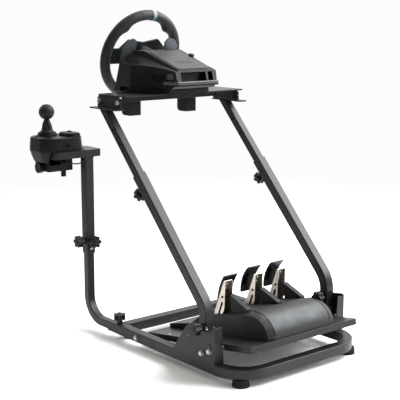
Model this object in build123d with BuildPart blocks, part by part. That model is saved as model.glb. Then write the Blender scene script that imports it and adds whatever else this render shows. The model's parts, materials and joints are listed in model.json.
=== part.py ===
from build123d import *
from math import cos, radians, sin, tan
import os

os.makedirs("parts", exist_ok=True)

# Racing wheel stand with steering wheel, pedal set and gear shifter.
# Millimetres, +Z up, the driver sits at -Y and looks along +Y, +X is the driver's right.
# The origin lies on the floor, midway along the base and on the stand's mirror plane.

# Square tubes
tube = 30.0
tube_wall = 2.0
tube_corner = 3.0
slide_gap = 0.5
tube_bore = tube - 2 * tube_wall
inner_tube = tube_bore - 2 * slide_gap
inner_bore = inner_tube - 2 * tube_wall
bore_corner = 1.5

# Base frame
base_width = 500.0
base_length = 612.0
base_bend = 90.0
foot_height = 20.0
foot_diameter = 48.0
foot_taper = 4.0
cross_in = 49.0
cross_plate_length = 64.0
cross_plate = 4.0
rear_foot_inset = 25.0
side_x = base_width / 2 - tube / 2
front_y = base_length / 2
rear_y = -base_length / 2
cross_y = rear_y + cross_in
tube_z = foot_height + tube / 2
base_top = foot_height + tube

# Side brackets, folded from sheet, that carry the uprights
sheet = 3.0
bracket_gap = 0.5
bracket_rear_y = 24.0
bracket_front_y = 208.0
bracket_corner_y = 94.0
bracket_corner_z = 143.0
bracket_front_z = 160.0
bracket_round = 42.0
bracket_nose = 6.0
flange_top_width = 27.0
flange_foot_width = 33.0
bracket_in = side_x + tube / 2 + bracket_gap
bracket_out = bracket_in + sheet
pivot_z = 72.0
pivot_hole = 5.0
fold_radius = 73.0
fold_angle = 60.0

# Uprights, one tube sliding in the other, leaning back to the driver
upright_y = 154.0
upright_knee_z = 195.5
upright_bend = 85.0
upright_lean = 43.0
lower_length = 450.0
overlap_length = 200.0
hole_pitch = 55.0
hole_radius = 3.5
first_hole = 111.0
hole_count = 2
height_knob_back = 46.0
lean_y = -sin(radians(upright_lean))
lean_z = cos(radians(upright_lean))

# Star knobs
knob_core = 13.0
knob_lobe = 5.5
knob_lobe_pitch = 13.5
knob_lobes = 6
knob_height = 17.0
knob_stand = 13.0
nut_radius = 10.0
nut_height = 9.0
screw_radius = 4.0
screw_tip_gap = 0.3

# Head brackets and deck, placed from the tops of the uprights
deck_width = 462.0
deck_top = 744.0
deck_sheet = 4.0
deck_corner = 8.0
deck_aft = 48.7
deck_fore = 94.3
deck_lift_gap = 3.0
head_drop = 38.0
head_flange_width = 30.0
head_flange_aft = 57.7
head_flange_fore = 84.3
head_web_fore = 72.3
head_corner = 7.0
ear_gap = 0.3
ear_drop = 32.0
ear_fore = 56.3
tilt_aft = 34.7
tilt_drop = 22.0
tilt_bolt_reach = 94.0
tilt_bolt_radius = 4.0
beam_width = 350.0
beam_fore = 11.3
beam_drop = 21.0
beam_leg = 30.0
deck_half = deck_width / 2
deck_under = deck_top - deck_sheet
head_flange_top = deck_top - head_drop
head_under = head_flange_top - deck_sheet
web_x = deck_half - deck_sheet
head_y = upright_y - (head_under - upright_knee_z) * tan(radians(upright_lean))
deck_rear_y = head_y - deck_aft
deck_front_y = head_y + deck_fore
head_flange_rear_y = head_y - head_flange_aft
head_flange_front_y = head_y + head_flange_fore
head_web_front_y = head_y + head_web_fore
ear_front_y = head_y + ear_fore
beam_y = head_y + beam_fore
tilt_pivot_y = head_y - tilt_aft
tilt_pivot_z = deck_top - tilt_drop

# Wheel clamps, hooked round the deck's rear edge
clamp_x = 109.4
clamp_width = 41.0
clamp_gap = 2.0
clamp_stem = 17.0
clamp_reach = 45.0
clamp_drop = 72.0
clamp_throat = 28.0
clamp_round = 14.0
clamp_pad = 13.0
clamp_pad_in = 14.0

# Steering wheel
rim_diameter = 300.0
rim_grip = 32.0
rim_depth = 34.0
rim_aft = 95.0
rim_rise = 105.0
rim_tilt = 18.9
thumb_angle = 49.0
thumb_arc = 12.0
thumb_circle = 121.0
thumb_radius = 15.0
rim_circle = rim_diameter / 2 - rim_grip / 2
spider_thick = 7.0
spider_top = 44.0
wing_x = 57.0
wing_top = 54.0
wing_foot_x = 88.0
spoke_half = 25.0
hub_half = 48.0
hub_low = 50.0
keel_half = 23.0
spider_round = 7.0
boss_radius = 36.0
boss_length = 44.0
shaft_radius = 12.0
shaft_length = 40.0
shaft_gap = 0.3
hub_cap_radius = 42.0
hub_cap_height = 12.0
hub_cap_taper = 12.0
rim_y = deck_rear_y - rim_aft
rim_z = deck_top + rim_rise
wheel_plane = Plane(
    origin=(0, rim_y, rim_z),
    x_dir=(1, 0, 0),
    z_dir=(0, -cos(radians(rim_tilt)), sin(radians(rim_tilt))),
)

# Shift paddles behind the spokes
paddle_back = 38.0
paddle_thick = 5.0
paddle_pin_x = 46.0
paddle_pin = 3.0
paddle_gap = 0.3
paddle_eye = 6.5
paddle_barrel = 40.0
paddle_arm = 7.0
paddle_tip_x = 107.0
paddle_low = -6.0
paddle_shoulder = 46.0
paddle_crown_x = 92.0
paddle_crown = 67.0
paddle_peak_x = 66.0
paddle_peak = 72.0
paddle_heel = 58.0
paddle_round = 8.0
paddle_lug_clear = 3.0
paddle_neck_x = paddle_pin_x + paddle_eye + paddle_lug_clear

# Wheel base housing
hood_face = 62.0
hood_half = 124.0
hood_nose_half = 76.0
hood_height = 124.0
hood_fall = 52.0
hood_overhang = 52.0
hood_nose_in = 10.0
hood_tuck_in = 40.0
hood_brow_in = 172.0
hood_wide_in = 173.0
hood_lip_rise = 34.0
hood_lip_thick = 10.0
hood_lip_band = 9.0
hood_lip_half = 112.0
hood_lip_back = 118.0
hood_lip_out = 3.0
hood_foot = 16.0
hood_foot_in = 12.0
hood_heel = 32.0
shelf_past = 8.0
shelf_rear_half = 86.0
shelf_rear_drop = -5.0
shelf_front_half = 66.0
shelf_front_drop = 59.5
shelf_lean = 0.385
flank_rear_drop = 40.0
flank_front_drop = 59.0
recess_depth = 14.0
recess_rise = 4.0
recess_tall = 27.0
recess_wide = 96.0
recess_wide_x = 12.0
recess_small = 18.0
recess_small_x = -53.0
vent_count = 6
vent_pitch = 10.0
vent_width = 5.0
vent_tall = 24.0
vent_slant = 15.0
vent_depth = 3.0
vent_in = 64.0
vent_rise = 46.0
panel_thick = 1.5
panel_half = 60.0
panel_margin = 6.0
panel_corner = 10.0
hood_top = deck_top + hood_height
hood_nose_z = hood_top - hood_fall
hood_lip_y = deck_front_y + hood_overhang
hood_lip_z = deck_top + hood_lip_rise
hood_nose_y = hood_lip_y - hood_nose_in
hood_tuck_y = hood_lip_y - hood_tuck_in
hood_brow_y = hood_lip_y - hood_brow_in
hood_wide_y = hood_lip_y - hood_wide_in

# Pedal plate, raised at the front
plate_tilt = 9.0
plate_front_y = 300.0
plate_front_z = 115.0
plate_stand = 45.5
plate_length = 464.0
plate_sheet = 2.0
plate_lip = 18.0
plate_slot_length = 24.0
plate_slot_width = 9.0
plate_slot_in = 20.0
plate_slot_back = 381.0
plate_pivot_y = 187.5
plate_pivot_z = 85.0
plate_bolt = 4.0
spacer_radius = 8.0
lock_slot_rise = 17.6
plate_half = bracket_in - plate_stand
plate_width = 2 * plate_half
plate_slot_x = plate_half - plate_slot_in
plate_plane = Plane(
    origin=(0, plate_front_y, plate_front_z),
    x_dir=(1, 0, 0),
    z_dir=(0, -sin(radians(plate_tilt)), cos(radians(plate_tilt))),
)

# Pedal set
pedal_half = 128.0
pedal_core = 107.0
pedal_bevel = 8.0
pedal_front = 8.0
pedal_crown = 73.0
pedal_crown_back = 85.0
pedal_shoulder = 60.0
pedal_shoulder_back = 292.0
pedal_toe = 8.0
pedal_heel_back = 350.0
heel_thick = 22.0
heel_end = 455.0
heel_end_thick = 12.0
gas_x = 104.0
brake_x = -12.0
clutch_x = -104.0
gas_pad_shift = -12.0
axle_back = 253.0
axle_height = 30.0
axle_radius = 5.0
axle_gap = 0.3
axle_half = 124.0
pocket_side = 5.0
pocket_rear = 272.0
pocket_front = 183.0
pocket_floor = 3.0
arm_lean = 21.7
arm_width = 30.0
arm_sheet = 2.0
arm_web = 8.5
arm_foot = 11.0
arm_length = 140.0
arm_tip = 2.3
arm_flange = 24.0
arm_taper_from = 66.0
arm_knee = 30.0
arm_hole = 4.0
arm_hole_at = 93.0
arm_hole_fore = 4.0
pad_width = 50.0
pad_sheet = 5.0
pad_foot_at = 66.0
pad_belly_at = 111.0
pad_tip_at = 152.0
pad_foot_out = 32.0
pad_belly_out = 41.0
pad_tip_out = 31.5
gas_foot_out = 14.0
gas_belly_out = 21.5
gas_tip_out = 17.0
pad_block_width = 24.0
pad_block_sink = 4.0
pad_block_from = 84.0
pad_block_to = 128.0
boot_width = 16.0
boot_rear = 177.0
boot_top = 114.0
boot_nose = 108.0
boot_nose_top = 76.0
boot_root = 55.0

# Shifter mast
mast_out = 120.0
mast_bend = 72.0
mast_insert = 140.0
mast_inner_top = 450.0
sleeve_foot = 242.0
mast_knob_z = 282.0
foot_knob_in = 44.0
gusset_leg = 22.0
gusset_drop = 41.0
gusset_sheet = 4.0
mast_y = rear_y - mast_out
foot_knob_y = rear_y + foot_knob_in

# Shifter plate and shifter, placed from the mast
tray_top = 570.0
tray_lip = 22.0
tray_in = 41.0
tray_out = 125.0
tray_fore = 21.0
tray_aft = 129.0
tray_cut_x = 76.0
tray_cut_y = 65.0
tray_corner = 10.0
shifter_out = 78.0
shifter_aft = 52.0
shifter_width = 148.0
shifter_depth = 128.0
shifter_height = 42.0
shifter_corner = 44.0
shifter_draft = 5.0
shifter_skirt = 10.0
shifter_top_round = 5.0
cheek_gap = 7.0
cheek_drop = 33.0
cheek_taper = 20.0
lever_out = 14.0
lever_aft = 27.0
collar_radius = 32.0
collar_height = 11.0
collar_taper = 25.0
collar_bore = 23.0
lever_ball = 12.0
lever_seat = 0.4
gaiter_foot = 16.0
gaiter_rise = 6.0
gaiter_neck = 7.0
gaiter_top = 52.0
ball_radius = 24.0
ball_rise = 72.0
button_radius = 9.0
button_height = 4.0
button_in = 49.0
button_aft = 15.0
jaw_width = 88.0
jaw_depth = 84.0
jaw_drop = 62.0
jaw_in = 3.0
jaw_aft = 20.0
jaw_round = 6.0
jaw_mouth_width = 40.0
jaw_mouth_out = 20.0
jaw_mouth_drop = 18.0
jaw_mouth_tall = 24.0
jaw_mouth_depth = 60.0
jaw_knob_radius = 17.0
jaw_knob_thick = 14.0
jaw_knob_drop = 51.0
jaw_stub_radius = 8.0
jaw_stub_drop = 25.0
jaw_stub_in = 34.0
shifter_x = side_x + shifter_out
shifter_y = mast_y - shifter_aft
lever_x = shifter_x + lever_out
lever_y = shifter_y - lever_aft
jaw_x = shifter_x - jaw_in
jaw_y = shifter_y - jaw_aft

# Shifter lead, on points chosen by hand, from the middle of the shifter's foot
cord_diameter = 4.0
gland_radius = 5.0
gland_length = 22.0
bend_share = 0.45
cord_offsets = [
    (-7, 70, 18),
    (-7, 86, 18),
    (-23, 94, 17),
    (-43, 96, 5),
    (-52, 93, -14),
    (-44, 87, -33),
    (-25, 78, -39),
    (-12, 61, -37),
    (-12, 43, -37),
]
cord_points = [(shifter_x + x, shifter_y + y, tray_top + z) for x, y, z in cord_offsets]


def bend_radii(points):
    """Bend radius at each inner point of a route, from the shorter run beside it."""
    radii = []
    for before, corner, after in zip(points, points[1:], points[2:]):
        run_in = Vector(corner) - Vector(before)
        run_out = Vector(after) - Vector(corner)
        turn = radians(run_in.get_angle(run_out))
        radii.append(bend_share * min(run_in.length, run_out.length) / tan(turn / 2))
    return radii


def paddle_pin_plane(side, height):
    """Plane square to a paddle's pin, at a height above the wheel's centre."""
    middle = -paddle_back - paddle_thick / 2
    return Plane(
        origin=wheel_plane.from_local_coords((side * paddle_pin_x, height, middle)),
        x_dir=wheel_plane.x_dir,
        z_dir=wheel_plane.y_dir,
    )


def rim_direction(angle):
    """Direction out from the wheel's centre, at an angle above the right spoke."""
    return wheel_plane.x_dir * cos(radians(angle)) + wheel_plane.y_dir * sin(radians(angle))


def on_upright(station, side):
    """Point on the leaning part of an upright, measured from the knee."""
    return (side * side_x, upright_y + station * lean_y, upright_knee_z + station * lean_z)


def star_knob(face, reach):
    """Welded nut, clamping screw and lobed grip standing on a tube face."""
    with BuildPart() as knob:
        with BuildSketch(face):
            RegularPolygon(radius=nut_radius, side_count=6)
        extrude(amount=nut_height)
        with BuildSketch(face.offset(-reach)):
            Circle(screw_radius)
        extrude(amount=reach + knob_stand)
        with BuildSketch(face.offset(knob_stand)):
            Circle(knob_core)
            with PolarLocations(knob_lobe_pitch, knob_lobes):
                Circle(knob_lobe)
        extrude(amount=knob_height)
    return knob.part


def tube_section(outside, inside):
    """Hollow square section of a tube, on the current sketch plane."""
    RectangleRounded(outside, outside, tube_corner)
    RectangleRounded(inside, inside, bore_corner, mode=Mode.SUBTRACT)


screw_reach = tube_wall + slide_gap - screw_tip_gap

# Base frame: one tube bent to a U, open towards the driver
with BuildPart() as base_frame:
    with BuildLine() as base_route:
        FilletPolyline(
            (side_x, rear_y, tube_z),
            (side_x, front_y - tube / 2, tube_z),
            (-side_x, front_y - tube / 2, tube_z),
            (-side_x, rear_y, tube_z),
            radius=base_bend,
        )
    with BuildSketch(Plane(origin=base_route.line @ 0, x_dir=(1, 0, 0), z_dir=(0, 1, 0))):
        tube_section(tube, tube_bore)
    sweep()
    with BuildSketch(Plane.XY.offset(base_top)):
        with Locations((side_x, foot_knob_y)):
            Circle(screw_radius)
    extrude(amount=-tube_wall, mode=Mode.SUBTRACT)
base_frame.part.label = "base_frame"
export_step(base_frame.part, "parts/base_frame.step")

# Rear cross tube with a bolting plate at each end
cross_half = side_x - tube / 2
with BuildPart() as rear_cross_tube:
    with BuildSketch(Plane(origin=(-cross_half, cross_y, tube_z), x_dir=(0, 1, 0), z_dir=(1, 0, 0))):
        tube_section(tube, tube_bore)
    extrude(amount=2 * cross_half)
    for side in (-1, 1):
        cross_end = (side * cross_half, cross_y, tube_z)
        with BuildSketch(Plane(origin=cross_end, x_dir=(0, 1, 0), z_dir=(-side, 0, 0))):
            RectangleRounded(cross_plate_length, tube - 2 * tube_wall, tube_corner)
        extrude(amount=cross_plate)
rear_cross_tube.part.label = "rear_cross_tube"
export_step(rear_cross_tube.part, "parts/rear_cross_tube.step")

# Rubber feet: two under the front bends, two under the ends of the cross tube
bend_reach = base_bend * cos(radians(45))
front_foot_x = side_x - base_bend + bend_reach
front_foot_y = front_y - tube / 2 - base_bend + bend_reach
rear_foot_x = cross_half - rear_foot_inset
with BuildPart() as rubber_feet:
    with BuildSketch(Plane.XY):
        with Locations(
            (front_foot_x, front_foot_y),
            (-front_foot_x, front_foot_y),
            (rear_foot_x, cross_y),
            (-rear_foot_x, cross_y),
        ):
            Circle(foot_diameter / 2)
    extrude(amount=foot_height, taper=foot_taper)
rubber_feet.part.label = "rubber_feet"
export_step(rubber_feet.part, "parts/rubber_feet.step")

# Side bracket: outer plate with a rounded back, a front flange and a foot flange on the base tube
with BuildPart() as side_bracket_right:
    with BuildSketch(Plane.YZ.offset(bracket_in)) as cheek:
        with BuildLine():
            Polyline(
                (bracket_rear_y, base_top),
                (bracket_front_y, base_top),
                (bracket_front_y, bracket_front_z),
                (bracket_corner_y, bracket_corner_z),
                close=True,
            )
        make_face()
        fillet(cheek.vertices().sort_by_distance((bracket_corner_y, bracket_corner_z))[0], bracket_round)
        fillet(cheek.vertices().sort_by_distance((bracket_front_y, bracket_front_z))[0], bracket_nose)
        with Locations((upright_y, pivot_z)):
            Circle(pivot_hole, mode=Mode.SUBTRACT)
            with PolarLocations(fold_radius, 2, start_angle=90, angular_range=fold_angle, endpoint=True):
                Circle(screw_radius, mode=Mode.SUBTRACT)
    extrude(amount=sheet)
    with BuildSketch(Plane.XZ.offset(-bracket_front_y)):
        with BuildLine():
            Polyline(
                (bracket_out, base_top),
                (bracket_out, bracket_front_z - bracket_nose),
                (bracket_out - flange_top_width, bracket_front_z - bracket_nose),
                (bracket_out - flange_foot_width, base_top),
                close=True,
            )
        make_face()
    extrude(amount=sheet)
    with BuildSketch(Plane.XY.offset(base_top)):
        with Locations((bracket_out, bracket_front_y)):
            Rectangle(
                flange_foot_width,
                bracket_front_y - bracket_rear_y - sheet,
                align=(Align.MAX, Align.MAX),
            )
    extrude(amount=sheet)
    with BuildSketch(Plane.YZ.offset(bracket_in)):
        with Locations((plate_pivot_y, plate_pivot_z)):
            Circle(plate_bolt)
        with Locations((plate_pivot_y, plate_pivot_z + lock_slot_rise)):
            SlotOverall(2 * spacer_radius, 2 * screw_radius)
    extrude(amount=sheet, mode=Mode.SUBTRACT)
side_bracket_right.part.label = "side_bracket_right"
export_step(side_bracket_right.part, "parts/side_bracket_right.step")

with BuildPart() as side_bracket_left:
    mirror(side_bracket_right.part, about=Plane.YZ)
side_bracket_left.part.label = "side_bracket_left"
export_step(side_bracket_left.part, "parts/side_bracket_left.step")

# Lower uprights: bent tubes standing in the brackets, with pivot, pin and knob holes
fold_z = pivot_z + fold_radius
knob_station = lower_length - height_knob_back
rear_normal = (0, -lean_z, lean_y)
with BuildPart() as lower_upright_right:
    with BuildLine() as upright_route:
        FilletPolyline(
            (side_x, upright_y, base_top + sheet),
            (side_x, upright_y, upright_knee_z),
            on_upright(lower_length, 1),
            radius=upright_bend,
        )
    with BuildSketch(Plane(origin=upright_route.line @ 0, x_dir=(1, 0, 0), z_dir=(0, 0, 1))):
        tube_section(tube, tube_bore)
    sweep()
    with BuildSketch(Plane.YZ.offset(side_x - tube / 2)):
        with Locations((upright_y, pivot_z)):
            Circle(pivot_hole)
        with Locations((upright_y, fold_z)):
            Circle(screw_radius)
    extrude(amount=tube, mode=Mode.SUBTRACT)
    with BuildSketch(Plane(origin=on_upright(knob_station, 1), x_dir=(1, 0, 0), z_dir=rear_normal)):
        Circle(screw_radius)
    extrude(amount=tube / 2, mode=Mode.SUBTRACT)
lower_upright_right.part.label = "lower_upright_right"
export_step(lower_upright_right.part, "parts/lower_upright_right.step")

with BuildPart() as lower_upright_left:
    mirror(lower_upright_right.part, about=Plane.YZ)
lower_upright_left.part.label = "lower_upright_left"
export_step(lower_upright_left.part, "parts/lower_upright_left.step")

# Height knobs on the backs of the lower uprights
height_knob_pair = []
for side in (-1, 1):
    knob_foot = Plane(origin=on_upright(knob_station, side), x_dir=(1, 0, 0), z_dir=rear_normal)
    height_knob_pair.append(star_knob(knob_foot.offset(tube / 2), screw_reach))
with BuildPart() as height_knobs:
    add(height_knob_pair)
height_knobs.part.label = "height_knobs"
export_step(height_knobs.part, "parts/height_knobs.step")

# Fold pins with knobs: both are put in from the +X side
fold_reach = sheet + bracket_gap + tube
fold_knob_pair = []
for fold_face_x in (bracket_out, tube / 2 - side_x):
    fold_face = Plane(origin=(fold_face_x, upright_y, fold_z), x_dir=(0, 1, 0), z_dir=(1, 0, 0))
    fold_knob_pair.append(star_knob(fold_face, fold_reach))
with BuildPart() as fold_knobs:
    add(fold_knob_pair)
fold_knobs.part.label = "fold_knobs"
export_step(fold_knobs.part, "parts/fold_knobs.step")

# Knob that clamps the shifter's foot tube in the base tube
foot_knob_face = Plane(origin=(side_x, foot_knob_y, base_top), x_dir=(1, 0, 0), z_dir=(0, 0, 1))
foot_knob_solid = star_knob(foot_knob_face, screw_reach)
with BuildPart() as foot_tube_knob:
    add(foot_knob_solid)
foot_tube_knob.part.label = "foot_tube_knob"
export_step(foot_tube_knob.part, "parts/foot_tube_knob.step")

# Upper uprights: straight tubes with cross holes, cut level under the head flange
top_station = (head_under - upright_knee_z) / lean_z
with BuildPart() as upper_upright_right:
    upper_foot = on_upright(lower_length - overlap_length, 1)
    with BuildSketch(Plane(origin=upper_foot, x_dir=(1, 0, 0), z_dir=(0, lean_y, lean_z))):
        tube_section(inner_tube, inner_bore)
    extrude(amount=top_station - lower_length + overlap_length + tube)
    split(bisect_by=Plane.XY.offset(head_under), keep=Keep.BOTTOM)
    for number in range(hole_count):
        hole_point = on_upright(lower_length + first_hole + number * hole_pitch, 1)
        with BuildSketch(Plane(origin=hole_point, x_dir=(0, 1, 0), z_dir=(1, 0, 0))):
            Circle(hole_radius)
        extrude(amount=tube, both=True, mode=Mode.SUBTRACT)
upper_upright_right.part.label = "upper_upright_right"
export_step(upper_upright_right.part, "parts/upper_upright_right.step")

with BuildPart() as upper_upright_left:
    mirror(upper_upright_right.part, about=Plane.YZ)
upper_upright_left.part.label = "upper_upright_left"
export_step(upper_upright_left.part, "parts/upper_upright_left.step")

# Head brackets: angles with the flange on the upright and the web beside the deck's ear
with BuildPart() as head_bracket_right:
    with BuildSketch(Plane.XY.offset(head_under)) as head_flange:
        with Locations((web_x, head_flange_rear_y)):
            Rectangle(
                head_flange_width,
                head_flange_front_y - head_flange_rear_y,
                align=(Align.MIN, Align.MIN),
            )
        fillet(head_flange.vertices().group_by(Axis.X)[-1], head_corner)
    extrude(amount=deck_sheet)
    with BuildSketch(Plane.YZ.offset(web_x)) as head_web:
        with Locations((deck_rear_y, head_under)):
            Rectangle(
                head_web_front_y - deck_rear_y,
                deck_under - deck_lift_gap - head_under,
                align=(Align.MIN, Align.MIN),
            )
        fillet(head_web.vertices().group_by(Axis.Y)[-1], head_corner)
        with Locations((tilt_pivot_y, tilt_pivot_z), (tilt_pivot_y + tilt_bolt_reach, tilt_pivot_z)):
            Circle(tilt_bolt_radius, mode=Mode.SUBTRACT)
    extrude(amount=deck_sheet)
head_bracket_right.part.label = "head_bracket_right"
export_step(head_bracket_right.part, "parts/head_bracket_right.step")

with BuildPart() as head_bracket_left:
    mirror(head_bracket_right.part, about=Plane.YZ)
head_bracket_left.part.label = "head_bracket_left"
export_step(head_bracket_left.part, "parts/head_bracket_left.step")

# Deck plate with a downturned ear at each end, slotted for the tilt bolt
ear_out = web_x - ear_gap
with BuildPart() as deck_plate:
    with BuildSketch(Plane.XY.offset(deck_under)) as deck_sketch:
        with Locations((0, deck_rear_y)):
            Rectangle(deck_width, deck_front_y - deck_rear_y, align=(Align.CENTER, Align.MIN))
        fillet(deck_sketch.vertices(), deck_corner)
    extrude(amount=deck_sheet)
    for side in (-1, 1):
        with BuildSketch(Plane.YZ.offset(side * (ear_out - deck_sheet / 2))) as ear:
            with Locations((deck_rear_y, deck_under)):
                Rectangle(ear_front_y - deck_rear_y, ear_drop, align=(Align.MIN, Align.MAX))
            fillet(ear.vertices().group_by(Axis.Y)[0], head_corner)
            with Locations((tilt_pivot_y, tilt_pivot_z)):
                Circle(tilt_bolt_radius, mode=Mode.SUBTRACT)
        extrude(amount=deck_sheet / 2, both=True)
deck_plate.part.label = "deck_plate"
export_step(deck_plate.part, "parts/deck_plate.step")

# Stiffening angle under the deck
with BuildPart() as deck_beam:
    with BuildSketch(Plane.YZ.offset(-beam_width / 2)):
        with Locations((beam_y, deck_under)):
            Rectangle(sheet, beam_drop, align=(Align.MAX, Align.MAX))
            Rectangle(beam_leg, sheet, align=(Align.MIN, Align.MAX))
    extrude(amount=beam_width)
deck_beam.part.label = "deck_beam"
export_step(deck_beam.part, "parts/deck_beam.step")

# Wheel clamps: hooks behind the deck's rear edge, each with a round pad under the deck
clamp_throat_y = deck_rear_y - clamp_gap
clamp_rear_y = clamp_throat_y - clamp_stem
clamp_front_y = clamp_rear_y + clamp_reach
clamp_jaw_z = deck_top - clamp_throat
clamp_low_z = deck_top - clamp_drop
with BuildPart() as wheel_clamps:
    for side in (-1, 1):
        with BuildSketch(Plane.YZ.offset(side * clamp_x)) as hook:
            with BuildLine():
                Polyline(
                    (clamp_rear_y, deck_top),
                    (clamp_throat_y, deck_top),
                    (clamp_throat_y, clamp_jaw_z),
                    (clamp_front_y, clamp_jaw_z),
                    (clamp_front_y, clamp_low_z),
                    (clamp_rear_y, clamp_low_z),
                    close=True,
                )
            make_face()
            fillet(hook.vertices().sort_by_distance((clamp_rear_y, clamp_low_z))[0], clamp_round)
        extrude(amount=clamp_width / 2, both=True)
        with BuildSketch(Plane.XY.offset(clamp_jaw_z)):
            with Locations((side * clamp_x, clamp_front_y - clamp_pad_in)):
                Circle(clamp_pad)
        extrude(amount=deck_under - clamp_jaw_z)
wheel_clamps.part.label = "wheel_clamps"
export_step(wheel_clamps.part, "parts/wheel_clamps.step")

# Rim: an oval grip turned about the steering axis, with two thumb rests
with BuildPart() as steering_rim:
    with BuildSketch(Plane(origin=wheel_plane.origin, x_dir=wheel_plane.x_dir, z_dir=-wheel_plane.y_dir)):
        with Locations((rim_circle, 0)):
            Ellipse(rim_grip / 2, rim_depth / 2)
    revolve(axis=Axis(wheel_plane.origin, wheel_plane.z_dir))
    for thumb_from in (thumb_angle - thumb_arc / 2, 180 - thumb_angle - thumb_arc / 2):
        thumb_start = rim_direction(thumb_from)
        thumb_end = rim_direction(thumb_from + thumb_arc)
        thumb_plane = Plane(wheel_plane.origin, x_dir=thumb_start, z_dir=thumb_start.cross(wheel_plane.z_dir))
        with BuildSketch(thumb_plane):
            with Locations((thumb_circle, 0)):
                Circle(thumb_radius)
        revolve(axis=Axis(wheel_plane.origin, wheel_plane.z_dir), revolution_arc=thumb_arc)
        for thumb_way in (thumb_start, thumb_end):
            with Locations(wheel_plane.origin + thumb_way * thumb_circle):
                Sphere(thumb_radius)
steering_rim.part.label = "steering_rim"
export_step(steering_rim.part, "parts/steering_rim.step")

# Spider: hub plate with horns and three spokes that end on the rim, boss and shaft
spider_right = [
    (wing_x, wing_top),
    (wing_foot_x, spoke_half),
    (rim_circle, spoke_half),
    (rim_circle, -spoke_half),
    (hub_half, -spoke_half),
    (keel_half, -hub_low),
    (keel_half, -rim_circle),
]
spider_left = [(-x, y) for x, y in reversed(spider_right)]
with BuildPart() as wheel_spider:
    with BuildSketch(wheel_plane.offset(-spider_thick / 2)) as spider_plate:
        with BuildLine():
            Polyline((0, spider_top), *spider_right, *spider_left, close=True)
        make_face()
        spoke_end = rim_circle - spider_round
        spider_corners = spider_plate.vertices().filter_by(
            lambda point: spider_round < abs(point.X) < spoke_end and abs(point.Y) < spoke_end
        )
        fillet(spider_corners, spider_round)
        Circle(rim_circle - rim_grip / 2, mode=Mode.INTERSECT)
    extrude(amount=spider_thick)
    with BuildSketch(wheel_plane.offset(-spider_thick / 2)):
        Circle(boss_radius)
    extrude(amount=-boss_length)
    with BuildSketch(wheel_plane.offset(-spider_thick / 2 - boss_length)):
        Circle(shaft_radius)
    extrude(amount=-shaft_length)
    for side in (-1, 1):
        with BuildSketch(paddle_pin_plane(side, -paddle_barrel / 2 - paddle_arm)):
            Circle(paddle_pin)
        extrude(amount=paddle_barrel + 2 * paddle_arm)
        for level in (-paddle_barrel / 2 - paddle_arm, paddle_barrel / 2 + paddle_gap):
            with BuildSketch(paddle_pin_plane(side, level)):
                Circle(paddle_eye)
                lug_side = Align.MAX if side > 0 else Align.MIN
                Rectangle(paddle_pin_x, 2 * paddle_eye, align=(lug_side, Align.CENTER))
            extrude(amount=paddle_arm - paddle_gap)
wheel_spider.part.label = "wheel_spider"
export_step(wheel_spider.part, "parts/wheel_spider.step")

with BuildPart() as hub_cap:
    with BuildSketch(wheel_plane.offset(spider_thick / 2)):
        Circle(hub_cap_radius)
    extrude(amount=hub_cap_height, taper=hub_cap_taper)
hub_cap.part.label = "hub_cap"
export_step(hub_cap.part, "parts/hub_cap.step")

# Shift paddles, each on a pin behind a spoke
for side, paddle_name in ((1, "paddle_right"), (-1, "paddle_left")):
    with BuildPart() as paddle:
        with BuildSketch(wheel_plane.offset(-paddle_back)) as blade:
            with BuildLine():
                Polyline(
                    (side * paddle_pin_x, -paddle_barrel / 2),
                    (side * paddle_neck_x, -paddle_barrel / 2),
                    (side * paddle_tip_x, paddle_low),
                    (side * paddle_tip_x, paddle_shoulder),
                    (side * paddle_crown_x, paddle_crown),
                    (side * paddle_peak_x, paddle_peak),
                    (side * paddle_neck_x, paddle_heel),
                    (side * paddle_neck_x, paddle_barrel / 2),
                    (side * paddle_pin_x, paddle_barrel / 2),
                    close=True,
                )
            make_face()
            blade_end = paddle_neck_x + paddle_lug_clear
            fillet(blade.vertices().filter_by(lambda point: abs(point.X) > blade_end), paddle_round)
        extrude(amount=-paddle_thick)
        with BuildSketch(paddle_pin_plane(side, -paddle_barrel / 2)):
            Circle(paddle_eye)
        extrude(amount=paddle_barrel)
        with BuildSketch(paddle_pin_plane(side, -paddle_barrel / 2)):
            Circle(paddle_pin + paddle_gap)
        extrude(amount=paddle_barrel, mode=Mode.SUBTRACT)
    paddle.part.label = paddle_name
    export_step(paddle.part, "parts/" + paddle_name + ".step")

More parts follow.
